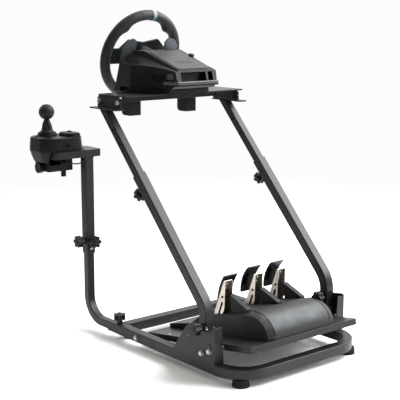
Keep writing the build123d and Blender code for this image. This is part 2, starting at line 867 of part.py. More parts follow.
# Wheel base: side profile, tapered in plan, with a shelf cut along each upper flank
face_slope = tan(radians(rim_tilt))
face_foot_y = rim_y + hood_face / cos(radians(rim_tilt)) + (deck_top - rim_z) * face_slope
face_top_y = face_foot_y + (hood_top - deck_top) * face_slope
hood_heel_y = face_foot_y + hood_heel
hood_foot_half = hood_half - hood_foot_in
shelf_x = hood_half + shelf_past
shelf_z = hood_top + shelf_past
shelf_rear = (
    face_foot_y - shelf_past,
    shelf_rear_half,
    hood_top - shelf_rear_drop,
    hood_top - flank_rear_drop,
)
shelf_front = (
    hood_lip_y + shelf_past,
    shelf_front_half,
    hood_top - shelf_front_drop,
    hood_top - flank_front_drop,
)
recess_z = hood_lip_z + recess_rise + recess_tall / 2
wall_taper = hood_half - hood_nose_half
vent_x = hood_nose_half + wall_taper * vent_in / hood_wide_in
with BuildPart() as wheel_base:
    with BuildSketch(Plane.YZ):
        with BuildLine():
            Polyline(
                (face_foot_y, deck_top),
                (face_top_y, hood_top),
                (hood_brow_y, hood_top),
                (hood_nose_y, hood_nose_z),
                (hood_lip_y, hood_lip_z),
                (hood_lip_y - hood_lip_thick, hood_lip_z - hood_lip_thick),
                (hood_tuck_y, deck_top),
                close=True,
            )
        make_face()
    extrude(amount=hood_half, both=True)
    with BuildSketch(Plane.XY.offset(deck_top)):
        with BuildLine():
            Polyline(
                (hood_half, face_foot_y),
                (hood_half, hood_wide_y),
                (hood_nose_half, hood_lip_y),
                (-hood_nose_half, hood_lip_y),
                (-hood_half, hood_wide_y),
                (-hood_half, face_foot_y),
                close=True,
            )
        make_face()
    extrude(amount=hood_height, mode=Mode.INTERSECT)
    for side in (-1, 1):
        for shelf_y, shelf_half, shelf_foot_z, flank_z in (shelf_rear, shelf_front):
            shelf_tall = shelf_z + shelf_past - shelf_foot_z
            with BuildSketch(Plane.XZ.offset(-shelf_y)):
                with BuildLine():
                    Polyline(
                        (side * shelf_half, shelf_foot_z),
                        (side * shelf_x, flank_z),
                        (side * shelf_x, shelf_z + shelf_past),
                        (side * (shelf_half - shelf_lean * shelf_tall), shelf_z + shelf_past),
                        close=True,
                    )
                make_face()
        loft(ruled=True, mode=Mode.SUBTRACT)
    with BuildSketch(Plane.XY.offset(deck_top)):
        Rectangle(2 * shelf_x, -2 * face_foot_y)
        with BuildLine():
            Polyline(
                (hood_half, face_foot_y),
                (hood_half, hood_heel_y),
                (hood_foot_half, hood_heel_y),
                (hood_nose_half, hood_tuck_y),
                (-hood_nose_half, hood_tuck_y),
                (-hood_foot_half, hood_heel_y),
                (-hood_half, hood_heel_y),
                (-hood_half, face_foot_y),
                close=True,
            )
        make_face(mode=Mode.SUBTRACT)
    extrude(amount=hood_foot, mode=Mode.SUBTRACT)
    with BuildSketch(Plane.XY.offset(hood_lip_z - hood_lip_thick)):
        with BuildLine():
            Polyline(
                (hood_lip_half, hood_lip_y - hood_lip_back),
                (hood_nose_half + hood_lip_out, hood_lip_y + hood_lip_out),
                (-hood_nose_half - hood_lip_out, hood_lip_y + hood_lip_out),
                (-hood_lip_half, hood_lip_y - hood_lip_back),
                close=True,
            )
        make_face()
    extrude(amount=hood_lip_band)
    with BuildSketch(wheel_plane.offset(-hood_face)):
        Circle(shaft_radius + shaft_gap)
    extrude(amount=-shaft_length, mode=Mode.SUBTRACT)
    with BuildSketch(Plane.XZ.offset(-hood_lip_y)):
        with Locations((recess_wide_x, recess_z)):
            Rectangle(recess_wide, recess_tall)
        with Locations((recess_small_x, recess_z)):
            Rectangle(recess_small, recess_tall)
    extrude(amount=recess_depth + hood_nose_in, mode=Mode.SUBTRACT)
    for side in (-1, 1):
        vent_wall = Plane(
            origin=(side * vent_x, hood_lip_y - vent_in, deck_top + vent_rise),
            x_dir=(-side * wall_taper, hood_wide_in, 0),
            z_dir=(side * hood_wide_in, wall_taper, 0),
        )
        with BuildSketch(vent_wall):
            with GridLocations(vent_pitch, 0, vent_count, 1):
                SlotOverall(vent_tall, vent_width, rotation=90 + side * vent_slant)
        extrude(amount=-vent_depth, mode=Mode.SUBTRACT)
wheel_base.part.label = "wheel_base"
export_step(wheel_base.part, "parts/wheel_base.step")

# Flat panel on the sloping top of the wheel base
slope = Vector(0, hood_nose_y - hood_brow_y, hood_nose_z - hood_top)
panel_middle = (0, (hood_brow_y + hood_nose_y) / 2, (hood_top + hood_nose_z) / 2)
panel_plane = Plane(origin=panel_middle, x_dir=(1, 0, 0), z_dir=Vector(1, 0, 0).cross(slope))
with BuildPart() as wheel_base_panel:
    with BuildSketch(panel_plane):
        RectangleRounded(2 * panel_half, slope.length - 2 * panel_margin, panel_corner)
    extrude(amount=panel_thick)
wheel_base_panel.part.label = "wheel_base_panel"
export_step(wheel_base_panel.part, "parts/wheel_base_panel.step")

# Pedal plate: sheet with a lip at the front and down both sides, hung on the pivot pins
plate_side = Plane(origin=plate_plane.origin, x_dir=plate_plane.y_dir, z_dir=plate_plane.x_dir)
with BuildPart() as pedal_plate:
    with BuildSketch(plate_plane.offset(-plate_lip)):
        Rectangle(plate_width, plate_length, align=(Align.CENTER, Align.MAX))
    extrude(amount=plate_lip)
    with BuildSketch(plate_plane.offset(-plate_lip)):
        with Locations((0, -plate_sheet)):
            Rectangle(plate_width - 2 * plate_sheet, plate_length, align=(Align.CENTER, Align.MAX))
    extrude(amount=plate_lip - plate_sheet, mode=Mode.SUBTRACT)
    with BuildSketch(plate_plane):
        for side in (-1, 1):
            with Locations((side * plate_slot_x, -plate_slot_back)):
                SlotOverall(plate_slot_length, plate_slot_width, rotation=90)
    extrude(amount=-plate_sheet, mode=Mode.SUBTRACT)
    with BuildSketch(Plane.YZ):
        with Locations((plate_pivot_y, plate_pivot_z)):
            Circle(plate_bolt + axle_gap)
    extrude(amount=plate_half, both=True, mode=Mode.SUBTRACT)
pedal_plate.part.label = "pedal_plate"
export_step(pedal_plate.part, "parts/pedal_plate.step")

# Spacers between the brackets and the pedal plate, each ending in the plate's pivot pin
with BuildPart() as plate_spacers:
    for side in (-1, 1):
        pin_face = Plane(
            origin=(side * bracket_in, plate_pivot_y, plate_pivot_z),
            x_dir=(0, 1, 0),
            z_dir=(-side, 0, 0),
        )
        with BuildSketch(pin_face):
            Circle(spacer_radius)
        extrude(amount=bracket_in - plate_half - axle_gap)
        with BuildSketch(pin_face):
            Circle(plate_bolt)
        extrude(amount=bracket_in - plate_half + plate_sheet + plate_bolt)
plate_spacers.part.label = "plate_spacers"
export_step(plate_spacers.part, "parts/plate_spacers.step")

# Pedal housing: moulded hump with drawn-in ends and three pockets for the pedal arms


def hump_outline(inset):
    """Side profile of the pedal housing, drawn in by an inset above the plate."""
    with BuildSketch() as outline:
        with BuildLine():
            Polyline(
                (-pedal_heel_back, 0),
                (-pedal_front - inset, 0),
                (-pedal_front - inset, pedal_toe),
            )
            EllipticalCenterArc(
                (-pedal_crown_back, pedal_toe),
                pedal_crown_back - pedal_front - inset,
                pedal_crown - pedal_toe - inset,
                start_angle=0,
                arc_size=90,
            )
            Polyline(
                (-pedal_crown_back, pedal_crown - inset),
                (-pedal_shoulder_back, pedal_shoulder - inset),
                (-pedal_heel_back, heel_thick),
                (-pedal_heel_back, 0),
            )
        make_face()
    return outline.sketch


pedal_places = (("gas", gas_x), ("brake", brake_x), ("clutch", clutch_x))
with BuildPart() as pedal_housing:
    with BuildSketch(plate_side):
        add(hump_outline(0))
    extrude(amount=pedal_core, both=True)
    for side in (-1, 1):
        with BuildSketch(plate_side.offset(side * pedal_core)):
            add(hump_outline(0))
        with BuildSketch(plate_side.offset(side * pedal_half)):
            add(hump_outline(pedal_bevel))
        loft()
    with BuildSketch(plate_plane.offset(pocket_floor)):
        for pedal_name, pedal_x in pedal_places:
            with Locations((pedal_x, -(pocket_front + pocket_rear) / 2)):
                Rectangle(arm_width + 2 * pocket_side, pocket_rear - pocket_front)
    extrude(amount=pedal_crown, mode=Mode.SUBTRACT)
    with BuildSketch(plate_side):
        with Locations((-axle_back, axle_height)):
            Circle(axle_radius)
    extrude(amount=axle_half, both=True, mode=Mode.SUBTRACT)
pedal_housing.part.label = "pedal_housing"
export_step(pedal_housing.part, "parts/pedal_housing.step")

# Axle that the three pedal arms turn on
with BuildPart() as pedal_axle:
    with BuildSketch(plate_side):
        with Locations((-axle_back, axle_height)):
            Circle(axle_radius)
    extrude(amount=axle_half, both=True)
pedal_axle.part.label = "pedal_axle"
export_step(pedal_axle.part, "parts/pedal_axle.step")

# Heel rest in front of the hump, on the driver's side
with BuildPart() as heel_rest:
    with BuildSketch(plate_side):
        with BuildLine():
            Polyline(
                (-heel_end, 0),
                (-pedal_heel_back, 0),
                (-pedal_heel_back, heel_thick),
                (-heel_end, heel_end_thick),
                close=True,
            )
        make_face()
    extrude(amount=pedal_half, both=True)
heel_rest.part.label = "heel_rest"
export_step(heel_rest.part, "parts/heel_rest.step")

# Pedal arms: tapered channels open to the front, each with a curved pad on a block
axle_point = plate_side.from_local_coords((-axle_back, axle_height, 0))
arm_dir = Vector(0, sin(radians(arm_lean)), cos(radians(arm_lean)))
arm_out = Vector(0, -cos(radians(arm_lean)), sin(radians(arm_lean)))
for pedal_name, pedal_x in pedal_places:
    arm_axle = (pedal_x, axle_point.Y, axle_point.Z)
    arm_side = Plane(origin=arm_axle, x_dir=arm_out, z_dir=arm_out.cross(arm_dir))
    with BuildPart() as pedal_arm:
        with BuildSketch(arm_side):
            with BuildLine():
                Polyline(
                    (arm_web, -arm_foot),
                    (arm_web, arm_length),
                    (arm_tip, arm_length),
                    (-arm_flange, arm_taper_from),
                    (-arm_flange, arm_knee),
                    (-arm_foot, -arm_foot),
                    close=True,
                )
            make_face()
        extrude(amount=arm_width / 2, both=True)
        with BuildSketch(arm_side):
            with Locations((arm_web - arm_sheet, -arm_foot)):
                Rectangle(arm_web + arm_flange, arm_foot + arm_length, align=(Align.MAX, Align.MIN))
        extrude(amount=arm_width / 2 - arm_sheet, both=True, mode=Mode.SUBTRACT)
        with BuildSketch(arm_side):
            Circle(axle_radius + axle_gap)
            with Locations((-arm_hole_fore, arm_hole_at)):
                Circle(arm_hole)
        extrude(amount=arm_width, both=True, mode=Mode.SUBTRACT)
    pedal_arm.part.label = "pedal_arm_" + pedal_name
    export_step(pedal_arm.part, "parts/pedal_arm_" + pedal_name + ".step")

    gas = pedal_name == "gas"
    foot_out = gas_foot_out if gas else pad_foot_out
    belly_out = gas_belly_out if gas else pad_belly_out
    tip_out = gas_tip_out if gas else pad_tip_out
    pad_side = Plane(
        origin=(pedal_x + (gas_pad_shift if gas else 0), axle_point.Y, axle_point.Z),
        x_dir=arm_side.x_dir,
        z_dir=arm_side.z_dir,
    )
    with BuildPart() as pedal_pad:
        with BuildSketch(pad_side):
            with BuildLine():
                ThreePointArc((foot_out, pad_foot_at), (belly_out, pad_belly_at), (tip_out, pad_tip_at))
                Line((tip_out, pad_tip_at), (tip_out - pad_sheet, pad_tip_at))
                ThreePointArc(
                    (tip_out - pad_sheet, pad_tip_at),
                    (belly_out - pad_sheet, pad_belly_at),
                    (foot_out - pad_sheet, pad_foot_at),
                )
                Line((foot_out - pad_sheet, pad_foot_at), (foot_out, pad_foot_at))
            make_face()
        extrude(amount=pad_width / 2, both=True)
        with BuildSketch(arm_side):
            with Locations((arm_web, pad_block_from)):
                Rectangle(
                    belly_out - pad_block_sink - arm_web,
                    pad_block_to - pad_block_from,
                    align=(Align.MIN, Align.MIN),
                )
        extrude(amount=pad_block_width / 2, both=True)
    pedal_pad.part.label = "pedal_pad_" + pedal_name
    export_step(pedal_pad.part, "parts/pedal_pad_" + pedal_name + ".step")

# Boots: wedges on the housing that the channels of the pressed arms slide over
with BuildPart() as pedal_boots:
    for pedal_name, pedal_x in pedal_places:
        with BuildSketch(plate_side.offset(pedal_x)):
            with BuildLine():
                Polyline(
                    (-boot_rear, boot_root),
                    (-boot_rear, boot_top),
                    (-boot_nose, boot_nose_top),
                    (-boot_nose, boot_root),
                    close=True,
                )
            make_face()
        extrude(amount=boot_width / 2, both=True)
    add(pedal_housing.part, mode=Mode.SUBTRACT)
pedal_boots.part.label = "pedal_boots"
export_step(pedal_boots.part, "parts/pedal_boots.step")

# Foot tube of the shifter mast, bent up from the end of the right base tube
with BuildPart() as shifter_foot_tube:
    with BuildLine() as mast_route:
        FilletPolyline(
            (side_x, rear_y + mast_insert, tube_z),
            (side_x, mast_y, tube_z),
            (side_x, mast_y, mast_inner_top),
            radius=mast_bend,
        )
    with BuildSketch(Plane(origin=mast_route.line @ 0, x_dir=(1, 0, 0), z_dir=(0, -1, 0))):
        tube_section(inner_tube, inner_bore)
    sweep()
shifter_foot_tube.part.label = "shifter_foot_tube"
export_step(shifter_foot_tube.part, "parts/shifter_foot_tube.step")

# Mast sleeve that slides on the foot tube, with a gusset under the tray
tray_under = tray_top - sheet
mast_knob_axis = Vector(side_x, mast_y, mast_knob_z)
side_knob_face = Plane(origin=mast_knob_axis, x_dir=(0, 1, 0), z_dir=(1, 0, 0)).offset(tube / 2)
front_knob_face = Plane(origin=mast_knob_axis, x_dir=(1, 0, 0), z_dir=(0, 1, 0)).offset(tube / 2)
gusset_x = side_x - tube / 2
with BuildPart() as mast_sleeve:
    with BuildSketch(Plane(origin=(side_x, mast_y, sleeve_foot), x_dir=(1, 0, 0), z_dir=(0, 0, 1))):
        tube_section(tube, tube_bore)
    extrude(amount=tray_under - sleeve_foot)
    for knob_face in (side_knob_face, front_knob_face):
        with BuildSketch(knob_face):
            Circle(screw_radius)
        extrude(amount=-tube_wall, mode=Mode.SUBTRACT)
    with BuildSketch(Plane.XZ.offset(-mast_y)):
        with BuildLine():
            Polyline(
                (gusset_x, tray_under),
                (gusset_x - gusset_leg, tray_under),
                (gusset_x, tray_under - gusset_drop),
                close=True,
            )
        make_face()
    extrude(amount=gusset_sheet / 2, both=True)
mast_sleeve.part.label = "mast_sleeve"
export_step(mast_sleeve.part, "parts/mast_sleeve.step")

mast_knob_pair = [star_knob(side_knob_face, screw_reach), star_knob(front_knob_face, screw_reach)]
with BuildPart() as mast_knobs:
    add(mast_knob_pair)
mast_knobs.part.label = "mast_knobs"
export_step(mast_knobs.part, "parts/mast_knobs.step")

# Shifter tray: sheet with a cut-off corner and its edges turned down
tray_x_in = side_x - tray_in
tray_x_out = side_x + tray_out
tray_front_y = mast_y + tray_fore
tray_rear_y = mast_y - tray_aft
with BuildPart() as shifter_tray:
    with BuildSketch(Plane.XY.offset(tray_top)) as tray_sketch:
        with BuildLine():
            Polyline(
                (tray_x_in, tray_front_y),
                (tray_x_out, tray_front_y),
                (tray_x_out, tray_rear_y),
                (tray_x_in + tray_cut_x, tray_rear_y),
                (tray_x_in, tray_rear_y + tray_cut_y),
                close=True,
            )
        make_face()
        fillet(tray_sketch.vertices(), tray_corner)
    extrude(amount=-tray_lip)
    offset(amount=-sheet, openings=shifter_tray.faces().sort_by(Axis.Z)[0])
shifter_tray.part.label = "shifter_tray"
export_step(shifter_tray.part, "parts/shifter_tray.step")

# Shifter housing: skirt, drafted cover and a cheek that hangs past the tray's edge
shifter_deck = tray_top + shifter_height
with BuildPart() as shifter_cheek:
    with BuildSketch(Plane.XY.offset(tray_top)):
        with Locations((shifter_x, shifter_y)):
            RectangleRounded(shifter_width, shifter_depth, shifter_corner)
    extrude(amount=-cheek_drop, taper=cheek_taper)
    split(bisect_by=Plane.YZ.offset(tray_x_out + cheek_gap), keep=Keep.TOP)
with BuildPart() as shifter_housing:
    with BuildSketch(Plane.XY.offset(tray_top)):
        with Locations((shifter_x, shifter_y)):
            RectangleRounded(shifter_width, shifter_depth, shifter_corner)
    extrude(amount=shifter_skirt)
    with BuildSketch(Plane.XY.offset(tray_top + shifter_skirt)):
        with Locations((shifter_x, shifter_y)):
            RectangleRounded(shifter_width, shifter_depth, shifter_corner)
    extrude(amount=shifter_height - shifter_skirt, taper=shifter_draft)
    fillet(shifter_housing.faces().sort_by(Axis.Z)[-1].edges(), shifter_top_round)
    with BuildSketch(Plane.XY.offset(shifter_deck)):
        with Locations((shifter_x - button_in, shifter_y - button_aft)):
            Circle(button_radius)
    extrude(amount=button_height)
    add(shifter_cheek.part)
shifter_housing.part.label = "shifter_housing"
export_step(shifter_housing.part, "parts/shifter_housing.step")

with BuildPart() as gaiter_collar:
    with BuildSketch(Plane.XY.offset(shifter_deck)):
        with Locations((lever_x, lever_y)):
            Circle(collar_radius)
    extrude(amount=collar_height, taper=collar_taper)
    with BuildSketch(Plane.XY.offset(shifter_deck)):
        with Locations((lever_x, lever_y)):
            Circle(collar_bore)
    extrude(amount=collar_height, mode=Mode.SUBTRACT)
gaiter_collar.part.label = "gaiter_collar"
export_step(gaiter_collar.part, "parts/gaiter_collar.step")

# Gear lever: ball foot, gaiter cone and neck, with a ball knob
lever_plane = Plane(origin=(lever_x, lever_y, shifter_deck), x_dir=(1, 0, 0), z_dir=(0, -1, 0))
lever_pivot = lever_ball + lever_seat
with BuildPart() as gear_lever:
    with BuildSketch(lever_plane):
        with BuildLine():
            CenterArc((0, lever_pivot), lever_ball, start_angle=-90, arc_size=90)
            Polyline(
                (lever_ball, lever_pivot),
                (gaiter_foot, lever_pivot + gaiter_rise),
                (gaiter_neck, gaiter_top),
                (gaiter_neck, ball_rise),
                (0, ball_rise),
                (0, lever_seat),
            )
        make_face()
    revolve(axis=Axis((lever_x, lever_y, shifter_deck), (0, 0, 1)))
gear_lever.part.label = "gear_lever"
export_step(gear_lever.part, "parts/gear_lever.step")

with BuildPart() as lever_knob:
    with Locations((lever_x, lever_y, shifter_deck + ball_rise)):
        Sphere(ball_radius)
    add(gear_lever.part, mode=Mode.SUBTRACT)
lever_knob.part.label = "lever_knob"
export_step(lever_knob.part, "parts/lever_knob.step")

# Clamp under the tray: block with a mouth to the front, a side knob and a screw end
jaw_side = Plane(
    origin=(jaw_x + jaw_width / 2, jaw_y, tray_under - jaw_knob_drop),
    x_dir=(0, 1, 0),
    z_dir=(1, 0, 0),
)
with BuildPart() as shifter_clamps:
    with BuildSketch(Plane.XY.offset(tray_under)):
        with Locations((jaw_x, jaw_y)):
            RectangleRounded(jaw_width, jaw_depth, jaw_round)
    extrude(amount=-jaw_drop)
    with BuildSketch(Plane.XZ.offset(-jaw_y - jaw_depth / 2)):
        with Locations((jaw_x + jaw_mouth_out, tray_under - jaw_mouth_drop)):
            Rectangle(jaw_mouth_width, jaw_mouth_tall, align=(Align.CENTER, Align.MAX))
    extrude(amount=jaw_mouth_depth, mode=Mode.SUBTRACT)
    with BuildSketch(jaw_side):
        Circle(jaw_knob_radius)
    extrude(amount=jaw_knob_thick)
    with BuildSketch(Plane.XY.offset(tray_under - jaw_drop)):
        with Locations((jaw_x - jaw_stub_in, jaw_y)):
            Circle(jaw_stub_radius)
    extrude(amount=-jaw_stub_drop)
shifter_clamps.part.label = "shifter_clamps"
export_step(shifter_clamps.part, "parts/shifter_clamps.step")

# Glands at both ends of the shifter lead
with BuildPart() as cord_glands:
    for gland_point in (cord_points[0], cord_points[-1]):
        with BuildSketch(Plane(origin=gland_point, x_dir=(1, 0, 0), z_dir=(0, -1, 0))):
            Circle(gland_radius)
        extrude(amount=gland_length)
    add(shifter_housing.part, mode=Mode.SUBTRACT)
    add(shifter_clamps.part, mode=Mode.SUBTRACT)
cord_glands.part.label = "cord_glands"
export_step(cord_glands.part, "parts/cord_glands.step")

# Shifter lead, out of the housing and back under the tray
cord_radii = bend_radii(cord_points)
with BuildPart() as shifter_cord:
    with BuildLine() as cord_route:
        FilletPolyline(*cord_points, radius=cord_radii)
    with BuildSketch(Plane(origin=cord_route.line @ 0, z_dir=cord_route.line % 0)):
        Circle(cord_diameter / 2)
    sweep()
shifter_cord.part.label = "shifter_cord"
export_step(shifter_cord.part, "parts/shifter_cord.step")
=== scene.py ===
import json
from math import cos, exp, pi, radians, sin

import bmesh
import bpy
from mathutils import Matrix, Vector
from mathutils.bvhtree import BVHTree


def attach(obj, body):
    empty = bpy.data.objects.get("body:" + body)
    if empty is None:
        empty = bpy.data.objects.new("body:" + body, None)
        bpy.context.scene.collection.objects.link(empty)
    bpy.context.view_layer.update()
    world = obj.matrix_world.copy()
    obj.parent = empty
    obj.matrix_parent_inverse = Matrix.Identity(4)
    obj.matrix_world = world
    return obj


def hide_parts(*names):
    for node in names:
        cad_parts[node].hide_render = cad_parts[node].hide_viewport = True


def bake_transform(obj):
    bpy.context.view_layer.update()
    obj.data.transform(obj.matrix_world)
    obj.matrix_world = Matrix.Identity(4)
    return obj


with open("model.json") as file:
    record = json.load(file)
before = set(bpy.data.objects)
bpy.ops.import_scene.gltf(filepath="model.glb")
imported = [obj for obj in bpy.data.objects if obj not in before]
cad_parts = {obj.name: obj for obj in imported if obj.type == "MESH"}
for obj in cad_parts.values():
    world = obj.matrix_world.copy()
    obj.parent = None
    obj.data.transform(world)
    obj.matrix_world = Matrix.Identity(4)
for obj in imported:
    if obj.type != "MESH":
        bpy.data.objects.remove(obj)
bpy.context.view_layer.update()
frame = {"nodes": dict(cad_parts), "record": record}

nodes = frame["nodes"]

# Racing wheel stand: finishes, fasteners, trim, lead, floor, light and camera.
# Metres, in the CAD frame: +X is the driver's right, +Y points to the screen, +Z is up.

X, Y, Z = Vector((1, 0, 0)), Vector((0, 1, 0)), Vector((0, 0, 1))
both_sides = (-1, 1)

# Camera of the photograph
camera_place = (1.9067, 2.1579, 0.9908)
camera_azimuth = radians(140.576)
camera_pitch = radians(10.76)
camera_lens = 89.9
camera_sensor = 36

# Shifter lead
lead_diameter = 0.004
lead_order = 3
lead_steps = 16
lead_roundness = 4
lead_points = [
    (0.306, -0.408, 0.588),
    (0.306, -0.392, 0.588),
    (0.290, -0.384, 0.587),
    (0.270, -0.382, 0.575),
    (0.261, -0.385, 0.556),
    (0.269, -0.391, 0.537),
    (0.288, -0.400, 0.531),
    (0.301, -0.417, 0.533),
    (0.301, -0.435, 0.533),
]

# Edge softening of the CAD solids
edge_round = 0.0007
edge_angle = radians(38)
edge_segments = 2
weld_gap = 0.00001


# Material helpers

noise_low = 0.3
noise_high = 0.7
even = (1, 1, 1)
brushed = (1, 9, 1)
drawn_up = (1, 1, 0.1)
cloud_scale = 14
grain_detail = 4
hide_cloud_scale = 22
hide_cloud_detail = 5
hide_rough = (0.42, 0.62)
hide_smoothness = 0.4


def start_material(name):
    """New node material with its shader, and the object coordinates that its textures use."""
    material = bpy.data.materials.new(name)
    material.use_nodes = True
    tree = material.node_tree
    place = tree.nodes.new("ShaderNodeTexCoord").outputs["Object"]
    return material, tree, tree.nodes["Principled BSDF"], place


def noise(tree, place, scale, detail, stretch=even):
    """Noise value over the surface, with its grain drawn out along an axis by stretch."""
    mapping = tree.nodes.new("ShaderNodeMapping")
    mapping.inputs["Scale"].default_value = stretch
    tree.links.new(place, mapping.inputs["Vector"])
    node = tree.nodes.new("ShaderNodeTexNoise")
    node.inputs["Scale"].default_value = scale
    node.inputs["Detail"].default_value = detail
    tree.links.new(mapping.outputs["Vector"], node.inputs["Vector"])
    return node.outputs["Fac"]


def span(tree, value, low, high):
    """The middle of a noise value's range, mapped to a range of numbers."""
    node = tree.nodes.new("ShaderNodeMapRange")
    node.inputs["From Min"].default_value = noise_low
    node.inputs["From Max"].default_value = noise_high
    node.inputs["To Min"].default_value = low
    node.inputs["To Max"].default_value = high
    tree.links.new(value, node.inputs["Value"])
    return node.outputs["Result"]


def shades(tree, value, dark, light):
    """Colour between two shades, by a noise value."""
    node = tree.nodes.new("ShaderNodeValToRGB")
    node.color_ramp.elements[0].position = noise_low
    node.color_ramp.elements[0].color = (*dark, 1)
    node.color_ramp.elements[1].position = noise_high
    node.color_ramp.elements[1].color = (*light, 1)
    tree.links.new(value, node.inputs["Fac"])
    return node.outputs["Color"]


def relief(tree, shader, height, depth):
    """Bump of a height value on the shader."""
    node = tree.nodes.new("ShaderNodeBump")
    node.inputs["Strength"].default_value = 1.0
    node.inputs["Distance"].default_value = depth
    tree.links.new(height, node.inputs["Height"])
    tree.links.new(node.outputs["Normal"], shader.inputs["Normal"])


def grained(name, dark, light, rough, grain, depth, metallic=0.0, stretch=even, specular=0.4):
    """Surface with cloudy colour, and a fine grain in its gloss and relief."""
    material, tree, shader, place = start_material(name)
    cloud = noise(tree, place, cloud_scale, grain_detail)
    fine = noise(tree, place, grain, grain_detail, stretch)
    tree.links.new(shades(tree, cloud, dark, light), shader.inputs["Base Color"])
    tree.links.new(span(tree, fine, *rough), shader.inputs["Roughness"])
    shader.inputs["Metallic"].default_value = metallic
    shader.inputs["Specular IOR Level"].default_value = specular
    relief(tree, shader, fine, depth)
    return material


def leather(name, dark, light, cell, depth, specular=0.3, sheen=0.08):
    """Pebbled surface: rounded cells under a cloudy colour and gloss."""
    material, tree, shader, place = start_material(name)
    cells = tree.nodes.new("ShaderNodeTexVoronoi")
    cells.feature = "SMOOTH_F1"
    cells.inputs["Scale"].default_value = cell
    cells.inputs["Smoothness"].default_value = hide_smoothness
    tree.links.new(place, cells.inputs["Vector"])
    cloud = noise(tree, place, hide_cloud_scale, hide_cloud_detail)
    tree.links.new(shades(tree, cloud, dark, light), shader.inputs["Base Color"])
    tree.links.new(span(tree, cloud, *hide_rough), shader.inputs["Roughness"])
    shader.inputs["Specular IOR Level"].default_value = specular
    shader.inputs["Sheen Weight"].default_value = sheen
    relief(tree, shader, cells.outputs["Distance"], depth)
    return material


# Finishes of the material slots
# Order: dark and light shade, roughness (not for leather), grain scale, relief depth, metallic, stretch.
finishes = {
    "powder_coat": grained(
        "powder_coat", (0.0135, 0.0137, 0.0147), (0.0185, 0.0187, 0.02), (0.32, 0.44), 650, 0.00008,
        specular=0.28),
    "zinc_steel": grained(
        "zinc_steel", (0.40, 0.405, 0.40), (0.50, 0.50, 0.48), (0.2, 0.34), 420, 0.00005, 1.0),
    "foot_rubber": grained(
        "foot_rubber", (0.008, 0.008, 0.008), (0.014, 0.014, 0.014), (0.7, 0.9), 500, 0.00018, specular=0.2),
    "knob_plastic": grained(
        "knob_plastic", (0.007, 0.007, 0.0075), (0.012, 0.012, 0.0125), (0.36, 0.5), 700, 0.0001,
        specular=0.25),
    "rim_leather": leather(
        "rim_leather", (0.010, 0.010, 0.0105), (0.017, 0.0165, 0.0165), 560, 0.0002),
    "dark_metal": grained(
        "dark_metal", (0.055, 0.061, 0.067), (0.08, 0.088, 0.096), (0.3, 0.42), 260, 0.00006, 0.9, brushed),
    "pedal_metal": grained(
        "pedal_metal", (0.66, 0.60, 0.51), (0.70, 0.64, 0.555), (0.27, 0.33), 300, 0.00001, 1.0, drawn_up),
    "housing_plastic": grained(
        "housing_plastic", (0.0055, 0.0056, 0.006), (0.009, 0.0091, 0.0096), (0.36, 0.48), 900, 0.00012,
        specular=0.2),
    "panel_plastic": grained(
        "panel_plastic", (0.022, 0.0224, 0.0235), (0.03, 0.0304, 0.032), (0.34, 0.44), 800, 0.00005),
    "lever_leather": leather(
        "lever_leather", (0.008, 0.008, 0.008), (0.014, 0.014, 0.014), 480, 0.0002),
    "cord_rubber": grained(
        "cord_rubber", (0.008, 0.008, 0.008), (0.013, 0.013, 0.013), (0.45, 0.6), 900, 0.0001, specular=0.3),
}

# Finishes of single pieces
pad_metal = grained(
    "pad_metal", (0.006, 0.006, 0.0065), (0.011, 0.011, 0.012), (0.34, 0.48), 320, 0.00006, specular=0.3)
# Near-black: the own colour of the buttons and the cross pins, and painted shade on the seam beads, pressed
# lines and slot plates.
black_and_painted_shade = grained(
    "black_and_painted_shade", (0.002, 0.002, 0.002), (0.004, 0.004, 0.004), (0.6, 0.75), 500, 0.00005, specular=0.1)
plate_satin = grained(
    "plate_satin", (0.045, 0.045, 0.042), (0.06, 0.06, 0.056), (0.34, 0.46), 380, 0.00003)
thread_grey = grained(
    "thread_grey", (0.03, 0.03, 0.031), (0.05, 0.05, 0.052), (0.6, 0.75), 900, 0.0001, specular=0.2)
band_white = leather("band_white", (0.25, 0.25, 0.248), (0.29, 0.29, 0.288), 620, 0.0001)
band_teal = leather("band_teal", (0.004, 0.20, 0.235), (0.008, 0.25, 0.285), 620, 0.0001)
pedal_shell = leather(
    "pedal_shell", (0.0055, 0.0056, 0.006), (0.0085, 0.0086, 0.009), 700, 0.00008, specular=0.5, sheen=0.0)
paddle_slate = grained(
    "paddle_slate", (0.085, 0.098, 0.108), (0.11, 0.124, 0.135), (0.34, 0.46), 260, 0.00005, 0.55, brushed)
own_finish = {
    "paddle_left": paddle_slate,
    "paddle_right": paddle_slate,
    "wheel_spider": pad_metal,
    "pedal_housing": pedal_shell,
    "pedal_pad_gas": pad_metal,
    "pedal_pad_brake": pad_metal,
    "pedal_pad_clutch": pad_metal,
}


# CAD nodes: finishes, and softened edges

def soften(node):
    """Rounds a CAD node's sharp edges for the light to catch, without touching its mesh."""
    weld = node.modifiers.new("weld", "WELD")
    weld.merge_threshold = weld_gap
    bevel = node.modifiers.new("edges", "BEVEL")
    bevel.limit_method = "ANGLE"
    bevel.angle_limit = edge_angle
    bevel.width = edge_round
    bevel.segments = edge_segments
    bevel.harden_normals = False
    normals = node.modifiers.new("normals", "WEIGHTED_NORMAL")
    normals.keep_sharp = True


for row in frame["record"]["subparts"]:
    cad = nodes[row["node"]]
    cad.data.materials.clear()
    cad.data.materials.append(own_finish.get(row["node"], finishes[row["material_slot"]]))
    soften(cad)


# Mesh helpers

bead_taper = 0.35
steep = 0.9
slab_corner_steps = 6
slab_rise_per_chamfer = 3


def skin(mesh, rows, closed=True):
    """Adds a surface through rows of points, with the rows closed into rings and capped, or left open."""
    made = [[mesh.verts.new(point) for point in row] for row in rows]
    count = len(rows[0])
    for lower, upper in zip(made, made[1:]):
        for step in range(count if closed else count - 1):
            after = (step + 1) % count
            mesh.faces.new((lower[step], lower[after], upper[after], upper[step]))
    if closed:
        mesh.faces.new(made[0][::-1])
        mesh.faces.new(made[-1])


